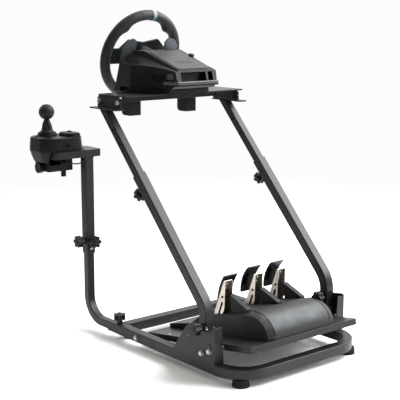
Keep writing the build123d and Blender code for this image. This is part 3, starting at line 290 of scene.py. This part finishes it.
def lathe(mesh, profile, origin, axis, segments):
    """Adds a turned shape: (radius, height) points swept about an axis, with closed ends."""
    axis = Vector(axis).normalized()
    across = axis.orthogonal().normalized()
    beside = axis.cross(across)
    turns = [2 * pi * step / segments for step in range(segments)]
    spokes = [across * cos(turn) + beside * sin(turn) for turn in turns]
    rows = []
    for radius, height in profile:
        rows.append([Vector(origin) + axis * height + spoke * radius for spoke in spokes])
    skin(mesh, rows)


def bead(mesh, points, radius, sides):
    """Adds a thin round bead along a line of points, tapered at its ends."""
    rows = []
    last = len(points) - 1
    turns = [2 * pi * side / sides for side in range(sides)]
    for step, point in enumerate(points):
        along = (points[min(step + 1, last)] - points[max(step - 1, 0)]).normalized()
        across = along.cross(Z if abs(along.z) < steep else X).normalized()
        beside = along.cross(across)
        size = radius * (bead_taper if step in (0, last) else 1)
        rows.append([point + (across * cos(turn) + beside * sin(turn)) * size for turn in turns])
    skin(mesh, rows)


def round_cornered(half_long, half_wide, corner, radius, steps):
    """Points of a rectangle with round corners, whose radius may be less than the corner's room."""
    outline = []
    for quarter, (side, end) in enumerate(((1, 1), (-1, 1), (-1, -1), (1, -1))):
        for step in range(steps + 1):
            angle = pi / 2 * (quarter + step / steps)
            outline.append((side * (half_long - corner) + radius * cos(angle),
                            end * (half_wide - corner) + radius * sin(angle)))
    return outline


def slab(mesh, centre, along, beside, length, width, corner, sink, rise):
    """Adds a flat plate with round corners and a chamfered upper edge, sunk a little into what carries it."""
    along, beside = along.normalized(), beside.normalized()
    normal = along.cross(beside)
    outline = round_cornered(length / 2, width / 2, corner, corner, slab_corner_steps)
    edge = rise / slab_rise_per_chamfer
    rows = []
    for height, inset in ((-sink, 0), (rise - edge, 0), (rise, edge)):
        shrink_long, shrink_wide = 1 - 2 * inset / length, 1 - 2 * inset / width
        rows.append([centre + along * a * shrink_long + beside * b * shrink_wide + normal * height
                     for a, b in outline])
    skin(mesh, rows)


def eased(points, steps):
    """A smooth line through points, each stretch cut into steps."""
    line = []
    last = len(points) - 1
    for at in range(last):
        a, b, c, d = (Vector(points[min(max(at + shift, 0), last)]) for shift in (-1, 0, 1, 2))
        for step in range(steps):
            t = step / steps
            line.append(0.5 * (2 * b + (c - a) * t + (2 * a - 5 * b + 4 * c - d) * t * t
                               + (3 * b - a - 3 * c + d) * t * t * t))
    return line + [Vector(points[-1])]


def spot_on(node, point, way):
    """Where a line from a point meets a CAD node, and the surface's direction there."""
    data = nodes[node].data
    corners = [vertex.co for vertex in data.vertices]
    tree = BVHTree.FromPolygons(corners, [face.vertices for face in data.polygons])
    return tree.ray_cast(Vector(point), Vector(way))[:2]


def finish_piece(name, mesh, material, body, smooth=False):
    """Turns a bmesh into a piece that rides on a body, or on none when no body is given."""
    bmesh.ops.recalc_face_normals(mesh, faces=mesh.faces)
    data = bpy.data.meshes.new(name)
    mesh.to_mesh(data)
    mesh.free()
    data.materials.append(material)
    if smooth:
        data.shade_smooth()
    piece = bpy.data.objects.new(name, data)
    bpy.context.scene.collection.objects.link(piece)
    if body:
        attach(piece, body)
    return piece


# Zinc bolts
hex_flats = 0.013
hex_height = 0.0055
hex_chamfer = 0.001
crown_share = 0.84
dish_share = 0.5
dish_floor_share = 0.46
dish_depth = 0.0004
washer_radius = 0.0085
washer_thick = 0.0015
washer_edge = 0.0003
washer_bevel = 0.0004
flange_share = 0.8
flange_top_share = 0.72
flange_sink = 0.0001
flange_rise = 0.0009
flange_top = 0.0012
washer_segments = 28
web_face = 0.231
cheek_face = 0.2535
tube_face = 0.25
head_bolt_height = 0.722
bolt_spots = {
    "base": [(cheek_face, 0.154, 0.072), (cheek_face, 0.1875, 0.085), (tube_face, -0.154, 0.035)],
    "head": [(web_face, -0.353, head_bolt_height), (web_face, -0.259, head_bolt_height)],
}


def hex_bolt(mesh, point, axis):
    """Washer, flange ring, and a chamfered hexagon head with a dished crown."""
    corner = hex_flats / 2 / cos(pi / 6)
    rim = washer_radius - washer_bevel
    top = washer_thick + hex_height
    washer = [(rim, 0), (washer_radius, washer_edge), (washer_radius, washer_thick - washer_edge),
              (rim, washer_thick)]
    flange = [(washer_radius * flange_share, washer_thick - flange_sink),
              (washer_radius * flange_share, washer_thick + flange_rise),
              (washer_radius * flange_top_share, washer_thick + flange_top)]
    head = [(corner, washer_thick), (corner, top - hex_chamfer), (corner * crown_share, top),
            (corner * dish_share, top), (corner * dish_floor_share, top - dish_depth)]
    lathe(mesh, washer, point, axis, washer_segments)
    lathe(mesh, flange, point, axis, washer_segments)
    lathe(mesh, head, point, axis, 6)


for body, spots in bolt_spots.items():
    mesh = bmesh.new()
    for x, y, z in spots:
        for side in both_sides:
            hex_bolt(mesh, (side * x, y, z), X * side)
    finish_piece(body + "_bolts", mesh, finishes["zinc_steel"], body)


# Spring pin of the mast sleeve, and studs of the side brackets
pin_segments = 28
pin_profile = [
    (0.0048, -0.0003),
    (0.0048, 0.0008),
    (0.0038, 0.0011),
    (0.0034, 0.0022),
    (0.0022, 0.0036),
    (0.0006, 0.0041),
]
sleeve_pin_place = (0.235, -0.411, 0.2576)
stud_y = 0.176
stud_z = 0.147
mesh = bmesh.new()
lathe(mesh, pin_profile, sleeve_pin_place, Y, pin_segments)
finish_piece("sleeve_pin", mesh, finishes["zinc_steel"], "mast", True)
mesh = bmesh.new()
for side in both_sides:
    lathe(mesh, pin_profile, (side * cheek_face, stud_y, stud_z), X * side, pin_segments)
finish_piece("bracket_studs", mesh, finishes["zinc_steel"], "base", True)


# Caps in the middle of the star knobs
cap_segments = 32
cap_profile = [
    (0.0076, -0.0008),
    (0.0076, 0.0007),
    (0.0066, 0.0014),
    (0.0034, 0.0017),
    (0.0031, 0.0011),
    (0.0008, 0.0010),
]
knob_ray = 0.1
upright_rear = Vector((0, -0.73135, -0.682))
cap_places = {
    "base": [
        ("height_knobs", (-0.235, -0.1215, 0.491), upright_rear),
        ("height_knobs", (0.235, -0.1215, 0.491), upright_rear),
        ("fold_knobs", (0.2535, 0.154, 0.145), X),
        ("fold_knobs", (-0.220, 0.154, 0.145), X),
        ("foot_tube_knob", (0.235, -0.262, 0.050), Z),
    ],
    "mast": [
        ("mast_knobs", (0.250, -0.426, 0.282), X),
        ("mast_knobs", (0.235, -0.411, 0.282), Y),
    ],
}
for body, places in cap_places.items():
    mesh = bmesh.new()
    for node, seat, axis in places:
        spot = spot_on(node, Vector(seat) + axis * knob_ray, -axis)[0]
        lathe(mesh, cap_profile, spot, axis, cap_segments)
    finish_piece(body + "_knob_caps", mesh, finishes["knob_plastic"], body, True)


# Rim grip: the leather ring with its thumb rests and join grooves
rim_centre = Vector((0, -0.46202, 0.849))
rim_up = Vector((0, 0.32392, 0.94609))
rim_face = Vector((0, -0.94609, 0.32392))
rim_circle = 0.134
rim_radial = 0.016
rim_axial = 0.017
rim_turns = 240
rim_sides = 56
thumb_turns = (49, 131)
thumb_reach = 0.0105
thumb_spread = radians(9)
thumb_ease = 1.3
rim_joins = [24, 76, 104, 156, 204, 250, 290, 336]
join_room = 0.8
join_depth = 0.0008
join_steps = {-0.55: 0.0, -0.3: -join_depth / 3, 0: -join_depth, 0.3: -join_depth / 3, 0.55: 0.0}


def rim_point(turn, round_turn, lift):
    """Point on the rim: turn goes round the wheel from the driver's right, round_turn round the grip."""
    spoke = X * cos(turn) + rim_up * sin(turn)
    inward = max(0, -cos(round_turn)) ** thumb_ease
    swell = sum(thumb_reach * exp(-((turn - radians(thumb)) / thumb_spread) ** 2) for thumb in thumb_turns)
    out = rim_circle + (rim_radial + lift) * cos(round_turn) - swell * inward
    return rim_centre + spoke * out + rim_face * (rim_axial + lift) * sin(round_turn)


stations = [(360 * step / rim_turns, 0.0) for step in range(rim_turns)]
for join in rim_joins:
    stations = [(turn, lift) for turn, lift in stations if abs(turn - join) > join_room]
    stations += [(join + step, lift) for step, lift in join_steps.items()]
stations.sort()
mesh = bmesh.new()
grip_turns = [2 * pi * side / rim_sides for side in range(rim_sides)]
rings = []
for turn, lift in stations:
    rings.append([mesh.verts.new(rim_point(radians(turn), grip_turn, lift)) for grip_turn in grip_turns])
for ring, following in zip(rings, rings[1:] + rings[:1]):
    for side in range(rim_sides):
        after = (side + 1) % rim_sides
        mesh.faces.new((ring[side], ring[after], following[after], following[side]))
rim = finish_piece("rim_grip", mesh, finishes["rim_leather"], "steering", True)
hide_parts("steering_rim")


# Rim band: a white sleeve with teal edges on its inner half
band_turn = radians(97)
band_half = 0.0062
band_lift = 0.0006
band_edge = 0.0004
band_shoulder = 0.6
band_steps = 72
teal_from = 0.0015
teal_round = (radians(100), radians(274))
teal_lift = 0.0011
teal_foot = 0.0001
teal_edge = 0.0003
teal_steps = 40


def rim_strip(mesh, profile, round_turns, closed):
    """Adds a strip round the grip from (length along the rim from the band's middle, lift) points."""
    rows = []
    for along, lift in profile:
        turn = band_turn + along / rim_circle
        rows.append([rim_point(turn, round_turn, lift) for round_turn in round_turns])
    skin(mesh, rows, closed)


mesh = bmesh.new()
band_profile = [
    (-band_half, -band_edge),
    (-band_half, band_lift * band_shoulder),
    (-band_half + band_edge, band_lift),
    (band_half - band_edge, band_lift),
    (band_half, band_lift * band_shoulder),
    (band_half, -band_edge),
]
rim_strip(mesh, band_profile, [2 * pi * step / band_steps for step in range(band_steps)], True)
finish_piece("rim_band", mesh, band_white, "steering", True)
mesh = bmesh.new()
teal_first, teal_last = teal_round
teal_turns = [teal_first + (teal_last - teal_first) * step / teal_steps for step in range(teal_steps + 1)]
for low, high in ((-band_half, -teal_from), (teal_from, band_half)):
    teal_profile = [
        (low, teal_foot),
        (low, teal_lift - teal_edge),
        (low + teal_edge, teal_lift),
        (high - teal_edge, teal_lift),
        (high, teal_lift - teal_edge),
        (high, teal_foot),
    ]
    rim_strip(mesh, teal_profile, teal_turns, False)
finish_piece("rim_band_edges", mesh, band_teal, "steering", True)


# Rim stitching on the inner side, left out at the spokes and the band, and the seam round the back
stitch_pitch = radians(2.6)
stitch_share = 0.22
stitch_lean = radians(9)
stitch_lift = 0.0002
stitch_radius = 0.0006
stitch_sides = 6
stitch_gaps = [(0, 14), (97, 4), (180, 14), (270, 13)]
seam_round = radians(-80)
seam_radius = 0.0005
seam_sides = 8


def apart(turn, middle):
    """Angle between two turns of the wheel, the short way round."""
    straight = abs(turn - middle)
    return min(straight, 2 * pi - straight)


mesh = bmesh.new()
turn = 0.0
while turn < 2 * pi - stitch_pitch / 2:
    if all(apart(turn, radians(middle)) > radians(half) for middle, half in stitch_gaps):
        ends = [
            (turn - stitch_pitch * stitch_share, pi - stitch_lean),
            (turn, pi),
            (turn + stitch_pitch * stitch_share, pi + stitch_lean),
        ]
        line = [rim_point(along, round_turn, stitch_lift) for along, round_turn in ends]
        bead(mesh, line, stitch_radius, stitch_sides)
    turn += stitch_pitch
finish_piece("rim_stitching", mesh, thread_grey, "steering", True)

seam_angles = [2 * pi * side / seam_sides for side in range(seam_sides)]
rows = []
for step in range(rim_turns + 1):
    turn = band_turn + 2 * pi * step / rim_turns
    rows.append([rim_point(turn, seam_round + seam_radius * cos(angle) / rim_axial, seam_radius * sin(angle))
                 for angle in seam_angles])
mesh = bmesh.new()
skin(mesh, rows)
finish_piece("rim_seam", mesh, thread_grey, "steering", True)


# Wheel base: toothed dial on the driver's left
above = 1.2
dial_at = (-0.070, -0.290)
dial_teeth = 24
dial_steps = dial_teeth * 4
tooth_depth = 0.00035
dial_rows = [
    (-0.002, 0.0084, 0),
    (0.0008, 0.0084, 0),
    (0.0011, 0.0090, 1),
    (0.0050, 0.0088, 1),
    (0.0060, 0.0080, 0.4),
    (0.0064, 0.0055, 0),
    (0.0059, 0.0048, 0),
    (0.0059, 0.001, 0),
]
spot, normal = spot_on("wheel_base", (*dial_at, above), -Z)
across = normal.cross(X).normalized()
beside = normal.cross(across)
rows = []
for height, radius, tooth in dial_rows:
    ring = []
    for step in range(dial_steps):
        angle = 2 * pi * step / dial_steps
        out = radius + tooth * tooth_depth * cos(dial_teeth * angle)
        ring.append(spot + normal * height + (across * cos(angle) + beside * sin(angle)) * out)
    rows.append(ring)
mesh = bmesh.new()
skin(mesh, rows)
finish_piece("base_dial", mesh, finishes["knob_plastic"], "deck", True)


# Wheel base: three small buttons on the shelf
button_segments = 28
button_profile = [
    (0.0046, -0.001),
    (0.0046, 0.0012),
    (0.0041, 0.0019),
    (0.0026, 0.0023),
    (0.0006, 0.0024),
]
button_places = [(0.1105, -0.374), (0.1070, -0.355), (0.1040, -0.337)]
mesh = bmesh.new()
for place in button_places:
    spot, normal = spot_on("wheel_base", (*place, above), -Z)
    lathe(mesh, button_profile, spot, normal, button_segments)
finish_piece("base_buttons", mesh, black_and_painted_shade, "deck", True)


# Wheel base: plain plate beside the vents, and two black strips on the panel's pressed lines, painted shade
# of their grooves
patch_start = (0.4, -0.1995, 0.7955)
patch_long = 0.024
patch_wide = 0.017
patch_corner = 0.0025
patch_sink = 0.0006
patch_rise = 0.0009
line_stations = (-0.246, -0.232)
line_long = 0.060
line_wide = 0.0018
line_corner = 0.0008
line_sink = 0.0004
line_rise = 0.0003
mesh = bmesh.new()
spot, normal = spot_on("wheel_base", patch_start, -X)
slab(mesh, spot, Z.cross(normal), Z, patch_long, patch_wide, patch_corner, patch_sink, patch_rise)
finish_piece("base_plate", mesh, plate_satin, "deck")
# Black strips: painted shade in the pressed grooves.
mesh = bmesh.new()
for station in line_stations:
    spot, normal = spot_on("wheel_base_panel", (0, station, above), -Z)
    slab(mesh, spot, X, normal.cross(X), line_long, line_wide, line_corner, line_sink, line_rise)
finish_piece("panel_line_shade", mesh, black_and_painted_shade, "deck")


# Wheel base: strip on the front lip, from the right flank round the front to the left
lip_right = [(0.0905, -0.2180), (0.0820, -0.1880), (0.0782, -0.1765), (0.0740, -0.1732), (0.0660, -0.1730)]
lip_path = lip_right + [(-x, y) for x, y in reversed(lip_right)]
lip_section = [
    (-0.0005, 0.7722),
    (0.0046, 0.7728),
    (0.0056, 0.7745),
    (0.0057, 0.7795),
    (0.0046, 0.7816),
    (-0.0005, 0.7824),
]
rows = []
for step, (x, y) in enumerate(lip_path):
    before, after = lip_path[max(step - 1, 0)], lip_path[min(step + 1, len(lip_path) - 1)]
    outward = Vector((after[1] - before[1], before[0] - after[0], 0)).normalized()
    rows.append([Vector((x, y, 0)) + outward * out + Z * height for out, height in lip_section])
mesh = bmesh.new()
skin(mesh, rows)
finish_piece("base_lip", mesh, plate_satin, "deck")


# Pedal housing: beads on the seams where the ends are joined on, their black painted shade of the seam
# grooves
plate_tilt = radians(9)
plate_front = Vector((0, 0.300, 0.115))
plate_back = Vector((0, -cos(plate_tilt), -sin(plate_tilt)))
plate_up = Vector((0, -sin(plate_tilt), cos(plate_tilt)))
housing_seam_x = 0.107
hump_back = 0.085
hump_up = 0.008
hump_long = 0.077
hump_high = 0.065
housing_seam_from = radians(3)
housing_seam_sweep = radians(91)
housing_seam_steps = 24
housing_seam_radius = 0.0010
housing_seam_sides = 8
mesh = bmesh.new()
for side in both_sides:
    line = []
    for step in range(housing_seam_steps + 1):
        angle = housing_seam_from + housing_seam_sweep * step / housing_seam_steps
        back_by = hump_back - hump_long * cos(angle)
        up_by = hump_up + hump_high * sin(angle)
        line.append(plate_front + X * side * housing_seam_x + plate_back * back_by + plate_up * up_by)
    bead(mesh, line, housing_seam_radius, housing_seam_sides)
# Seam beads: black as painted shade in the grooves.
finish_piece("housing_seam_shade", mesh, black_and_painted_shade, "pedal_deck", True)


# Pedals: black plates as painted shade in the slots of the arms' flanges, a dark pin across them, screws in
# their webs, studs on the pads
pedal_axle = Vector((0, 0.04542, 0.10505))
arm_out = Vector((0, -0.9291, 0.3697))
arm_along = Vector((0, 0.3697, 0.9291))
arm_half = 0.015
slot_out = -0.0095
slot_reach = (0.018, 0.080)
slot_width = 0.0075
slot_corner = 0.0036
slot_sink = 0.0002
slot_rise = 0.0003
cross_pin_out = -0.004
cross_pin_reach = 0.093
cross_pin_profile = [(0.0026, -0.0152), (0.0037, -0.0148), (0.0037, 0.0148), (0.0026, 0.0152)]
cross_pin_segments = 28
screw_out = 0.0065
screw_reach = (0.113, 0.128)
screw_segments = 24
screw_profile = [
    (0.0034, -0.0005),
    (0.0034, 0.0008),
    (0.0028, 0.0016),
    (0.0016, 0.0019),
    (0.0014, 0.0009),
    (0.0004, 0.0009),
]
stud_reach = (0.092, 0.111, 0.130)
stud_shifts = (-0.014, 0.0, 0.014)
stud_start = 0.08
stud_segments = 20
stud_profile = [
    (0.0033, -0.0012),
    (0.0033, 0.0007),
    (0.0026, 0.0013),
    (0.0012, 0.0015),
    (0.0003, 0.0015),
]
pedals = {"gas": (0.104, 0.092), "brake": (-0.012, -0.012), "clutch": (-0.104, -0.104)}
for pedal, (arm_x, pad_x) in pedals.items():
    body = pedal + "_pedal"
    arm_foot = pedal_axle + X * arm_x
    slot_shade_and_pin, screws, studs = bmesh.new(), bmesh.new(), bmesh.new()
    for side in both_sides:
        flange = pedal_axle + X * (arm_x + side * arm_half)
        middle = flange + arm_out * slot_out + arm_along * sum(slot_reach) / 2
        slab(slot_shade_and_pin, middle, arm_along, arm_out * side, slot_reach[1] - slot_reach[0], slot_width, slot_corner,
             slot_sink, slot_rise)
    cross_pin = arm_foot + arm_out * cross_pin_out + arm_along * cross_pin_reach
    lathe(slot_shade_and_pin, cross_pin_profile, cross_pin, X, cross_pin_segments)
    for reach in screw_reach:
        screw = arm_foot + arm_out * screw_out + arm_along * reach
        lathe(screws, screw_profile, screw, -arm_out, screw_segments)
    for reach in stud_reach:
        for shift in stud_shifts:
            start = pedal_axle + X * (pad_x + shift) + arm_along * reach + arm_out * stud_start
            spot, normal = spot_on("pedal_pad_" + pedal, start, -arm_out)
            lathe(studs, stud_profile, spot, normal, stud_segments)
    # Slot plates: painted shade seen through the slots; the cross pin is dark itself.
    finish_piece(pedal + "_arm_slot_shade_and_pin", slot_shade_and_pin, black_and_painted_shade, body)
    finish_piece(pedal + "_arm_screws", screws, finishes["zinc_steel"], body, True)
    finish_piece(pedal + "_pad_studs", studs, pad_metal, body, True)


# Gear lever: leather gaiter between housing and lever
lever_foot = Vector((0.327, -0.505, 0))
gaiter_line = [
    (0.0206, 0.6125),
    (0.0216, 0.6170),
    (0.0219, 0.6215),
    (0.0212, 0.6250),
    (0.0186, 0.6275),
    (0.0172, 0.6300),
    (0.0168, 0.6330),
    (0.0157, 0.6360),
    (0.0150, 0.6395),
    (0.0148, 0.6425),
    (0.0134, 0.6455),
    (0.0128, 0.6485),
    (0.0120, 0.6515),
    (0.0104, 0.6545),
    (0.0094, 0.6575),
    (0.0082, 0.6598),
]
gaiter_steps = 4
gaiter_sides = 96
gaiter_calm = 0.22
pleat_count = 7
pleat_depth = 0.0008
pleat_twist = 5
ridge_count = 4
ridge_height = 0.0007
ridge_half = 0.09

gaiter_rows = eased(gaiter_line, gaiter_steps)
rows = []
for at, (radius, height) in enumerate(gaiter_rows):
    share = at / (len(gaiter_rows) - 1)
    swell = sin(pi * min(max((share - gaiter_calm) / (1 - gaiter_calm), 0), 1))
    ring = []
    for step in range(gaiter_sides):
        angle = 2 * pi * step / gaiter_sides
        pleat = pleat_depth * swell * sin(pleat_count * angle + pleat_twist * share)
        off_ridge = ((angle * ridge_count / (2 * pi) + 0.5) % 1 - 0.5) * 2 * pi / ridge_count
        ridge = ridge_height * swell * max(0, 1 - (off_ridge / ridge_half) ** 2)
        out = radius + pleat + ridge
        ring.append(lever_foot + Vector((out * cos(angle), out * sin(angle), height)))
    rows.append(ring)
mesh = bmesh.new()
skin(mesh, rows)
gaiter = finish_piece("lever_gaiter", mesh, finishes["lever_leather"], None, True)
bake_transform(gaiter)
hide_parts("gear_lever")


# Gear lever: ferrule under the knob, and cap on top of it
ferrule_segments = 48
ferrule_profile = [
    (0.0056, 0.640),
    (0.0056, 0.6578),
    (0.0084, 0.6580),
    (0.0088, 0.6584),
    (0.0088, 0.6602),
    (0.0084, 0.6606),
    (0.0069, 0.6608),
    (0.0069, 0.676),
]
knob_height = 0.684
knob_cap_segments = 64
knob_cap_profile = [
    (0.0112, 0.0205),
    (0.0116, 0.0217),
    (0.0112, 0.0223),
    (0.0104, 0.0223),
    (0.0100, 0.0219),
    (0.0094, 0.0222),
    (0.0060, 0.0236),
    (0.0030, 0.0242),
    (0.0006, 0.0244),
]
mesh = bmesh.new()
lathe(mesh, ferrule_profile, lever_foot, Z, ferrule_segments)
finish_piece("lever_ferrule", mesh, finishes["knob_plastic"], "lever", True)
mesh = bmesh.new()
lathe(mesh, knob_cap_profile, lever_foot + Z * knob_height, Z, knob_cap_segments)
finish_piece("lever_knob_cap", mesh, finishes["panel_plastic"], "lever", True)


# Shifter's cover: raised lobe, and a button on each level
lobe_x = 0.274
lobe_y = -0.461
lobe_half_x = 0.0265
lobe_half_y = 0.0375
lobe_corner = 0.022
lobe_corner_steps = 9
lobe_rows = [
    (0.6050, 0.0),
    (0.6120, 0.0005),
    (0.6180, 0.0016),
    (0.6208, 0.0034),
    (0.6222, 0.0058),
    (0.6226, 0.0090),
]
lobe_top = lobe_rows[-1][0]
lobe_button = (0.270, -0.468, lobe_top)
cover_button_start = (0.372, -0.490, 0.8)
cover_button_segments = 40
cover_button_profile = [
    (0.0082, -0.002),
    (0.0082, 0.0006),
    (0.0070, 0.0008),
    (0.0068, 0.0022),
    (0.0060, 0.0030),
    (0.0034, 0.0035),
    (0.0006, 0.0036),
]
rows = []
for height, inset in lobe_rows:
    outline = round_cornered(lobe_half_x, lobe_half_y, lobe_corner, lobe_corner - inset, lobe_corner_steps)
    rows.append([Vector((lobe_x + across, lobe_y + along, height)) for across, along in outline])
mesh = bmesh.new()
skin(mesh, rows)
finish_piece("shifter_lobe", mesh, finishes["housing_plastic"], "mast", True)
mesh = bmesh.new()
cover_button = spot_on("shifter_housing", cover_button_start, -Z)[0]
for place in (cover_button, lobe_button):
    lathe(mesh, cover_button_profile, place, Z, cover_button_segments)
finish_piece("housing_button", mesh, finishes["knob_plastic"], "mast", True)


# Shifter lead
curve = bpy.data.curves.new("shifter_lead", "CURVE")
curve.dimensions = "3D"
curve.resolution_u = lead_steps
curve.bevel_depth = lead_diameter / 2
curve.bevel_resolution = lead_roundness
curve.use_fill_caps = True
spline = curve.splines.new("NURBS")
spline.points.add(len(lead_points) - 1)
for knot, point in zip(spline.points, lead_points):
    knot.co = (*point, 1)
spline.order_u = lead_order
spline.use_endpoint_u = True
curve.materials.append(finishes["cord_rubber"])
lead = bpy.data.objects.new("shifter_lead", curve)
bpy.context.scene.collection.objects.link(lead)
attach(lead, "mast")
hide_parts("shifter_cord")


# Floor: white paper that fades out round the stand
floor_reach = 3.2
floor_fade = (0.8, 3.1)
floor_glow = (1.0, 0.975, 0.93, 1)
floor_glow_strength = 0.08
floor_corners = [
    (-floor_reach, -floor_reach, 0),
    (floor_reach, -floor_reach, 0),
    (floor_reach, floor_reach, 0),
    (-floor_reach, floor_reach, 0),
]
floor_mesh = bpy.data.meshes.new("floor")
floor_mesh.from_pydata(floor_corners, [], [(0, 1, 2, 3)])
floor_paper = grained(
    "floor_paper", (0.955, 0.955, 0.95), (0.965, 0.965, 0.96), (0.8, 0.9), 60, 0.00005, specular=0.0)
tree = floor_paper.node_tree
paper_shader = tree.nodes["Principled BSDF"]
paper_shader.inputs["Emission Color"].default_value = floor_glow
paper_shader.inputs["Emission Strength"].default_value = floor_glow_strength
length = tree.nodes.new("ShaderNodeVectorMath")
length.operation = "LENGTH"
tree.links.new(tree.nodes.new("ShaderNodeTexCoord").outputs["Object"], length.inputs[0])
fade = tree.nodes.new("ShaderNodeMapRange")
fade.interpolation_type = "SMOOTHSTEP"
fade.inputs["From Min"].default_value, fade.inputs["From Max"].default_value = floor_fade
fade.inputs["To Min"].default_value = 1.0
fade.inputs["To Max"].default_value = 0.0
tree.links.new(length.outputs["Value"], fade.inputs["Value"])
tree.links.new(fade.outputs["Result"], paper_shader.inputs["Alpha"])
floor_mesh.materials.append(floor_paper)
floor = bpy.data.objects.new("floor", floor_mesh)
bpy.context.scene.collection.objects.link(floor)


# Studio: a white sweep as it is seen, and a room that is brighter behind the stand than beside the camera
sweep_white = 0.975
room_dim = 0.34
room_bright = 1.4
room_warm = (1.0, 0.985, 0.955, 1)
room_back = (-0.55, -0.66, 0.51)
room_turn = (0.2, 0.85)
world = bpy.data.worlds.new("studio")
world.use_nodes = True
tree = world.node_tree
seen = tree.nodes["Background"]
seen.inputs["Color"].default_value = (1, 1, 1, 1)
seen.inputs["Strength"].default_value = sweep_white
room = tree.nodes.new("ShaderNodeBackground")
room.inputs["Color"].default_value = room_warm
facing = tree.nodes.new("ShaderNodeVectorMath")
facing.operation = "DOT_PRODUCT"
facing.inputs[1].default_value = room_back
tree.links.new(tree.nodes.new("ShaderNodeTexCoord").outputs["Generated"], facing.inputs[0])
bright = tree.nodes.new("ShaderNodeMapRange")
bright.interpolation_type = "SMOOTHSTEP"
bright.inputs["From Min"].default_value, bright.inputs["From Max"].default_value = room_turn
bright.inputs["To Min"].default_value = room_dim
bright.inputs["To Max"].default_value = room_bright
tree.links.new(facing.outputs["Value"], bright.inputs["Value"])
tree.links.new(bright.outputs["Result"], room.inputs["Strength"])
either = tree.nodes.new("ShaderNodeMixShader")
tree.links.new(tree.nodes.new("ShaderNodeLightPath").outputs["Is Camera Ray"], either.inputs["Fac"])
tree.links.new(room.outputs["Background"], either.inputs[1])
tree.links.new(seen.outputs["Background"], either.inputs[2])
tree.links.new(either.outputs["Shader"], tree.nodes["World Output"].inputs["Surface"])
bpy.context.scene.world = world
bpy.context.scene.view_settings.view_transform = "Standard"


# Lights
light_tint = (0.93, 0.97, 1.0)
key_place = (-2.06, 0.49, 2.82)
key_aim = (0, 0, 0.4)
key_size = 3.0
key_watts = 215
front_place = (-2.05, 1.82, 2.10)
front_aim = (0, 0, 0.3)
front_size = 1.9
front_watts = 95


def softbox(name, place, aim, size, watts):
    """Square area light turned to a point."""
    light = bpy.data.lights.new(name, "AREA")
    light.size = size
    light.energy = watts
    light.color = light_tint
    box = bpy.data.objects.new(name, light)
    box.location = place
    box.rotation_mode = "QUATERNION"
    box.rotation_quaternion = (Vector(aim) - Vector(place)).to_track_quat("-Z", "Y")
    bpy.context.scene.collection.objects.link(box)


softbox("key_light", key_place, key_aim, key_size, key_watts)
softbox("front_light", front_place, front_aim, front_size, front_watts)


# Camera
camera = bpy.data.objects.new("camera", bpy.data.cameras.new("camera"))
camera.data.lens = camera_lens
camera.data.sensor_width = camera_sensor
camera.location = camera_place
level = cos(camera_pitch)
back = Vector((sin(camera_azimuth) * level, -cos(camera_azimuth) * level, sin(camera_pitch)))
camera.rotation_mode = "QUATERNION"
camera.rotation_quaternion = (-back).to_track_quat("-Z", "Y")
bpy.context.scene.collection.objects.link(camera)
bpy.context.scene.camera = camera
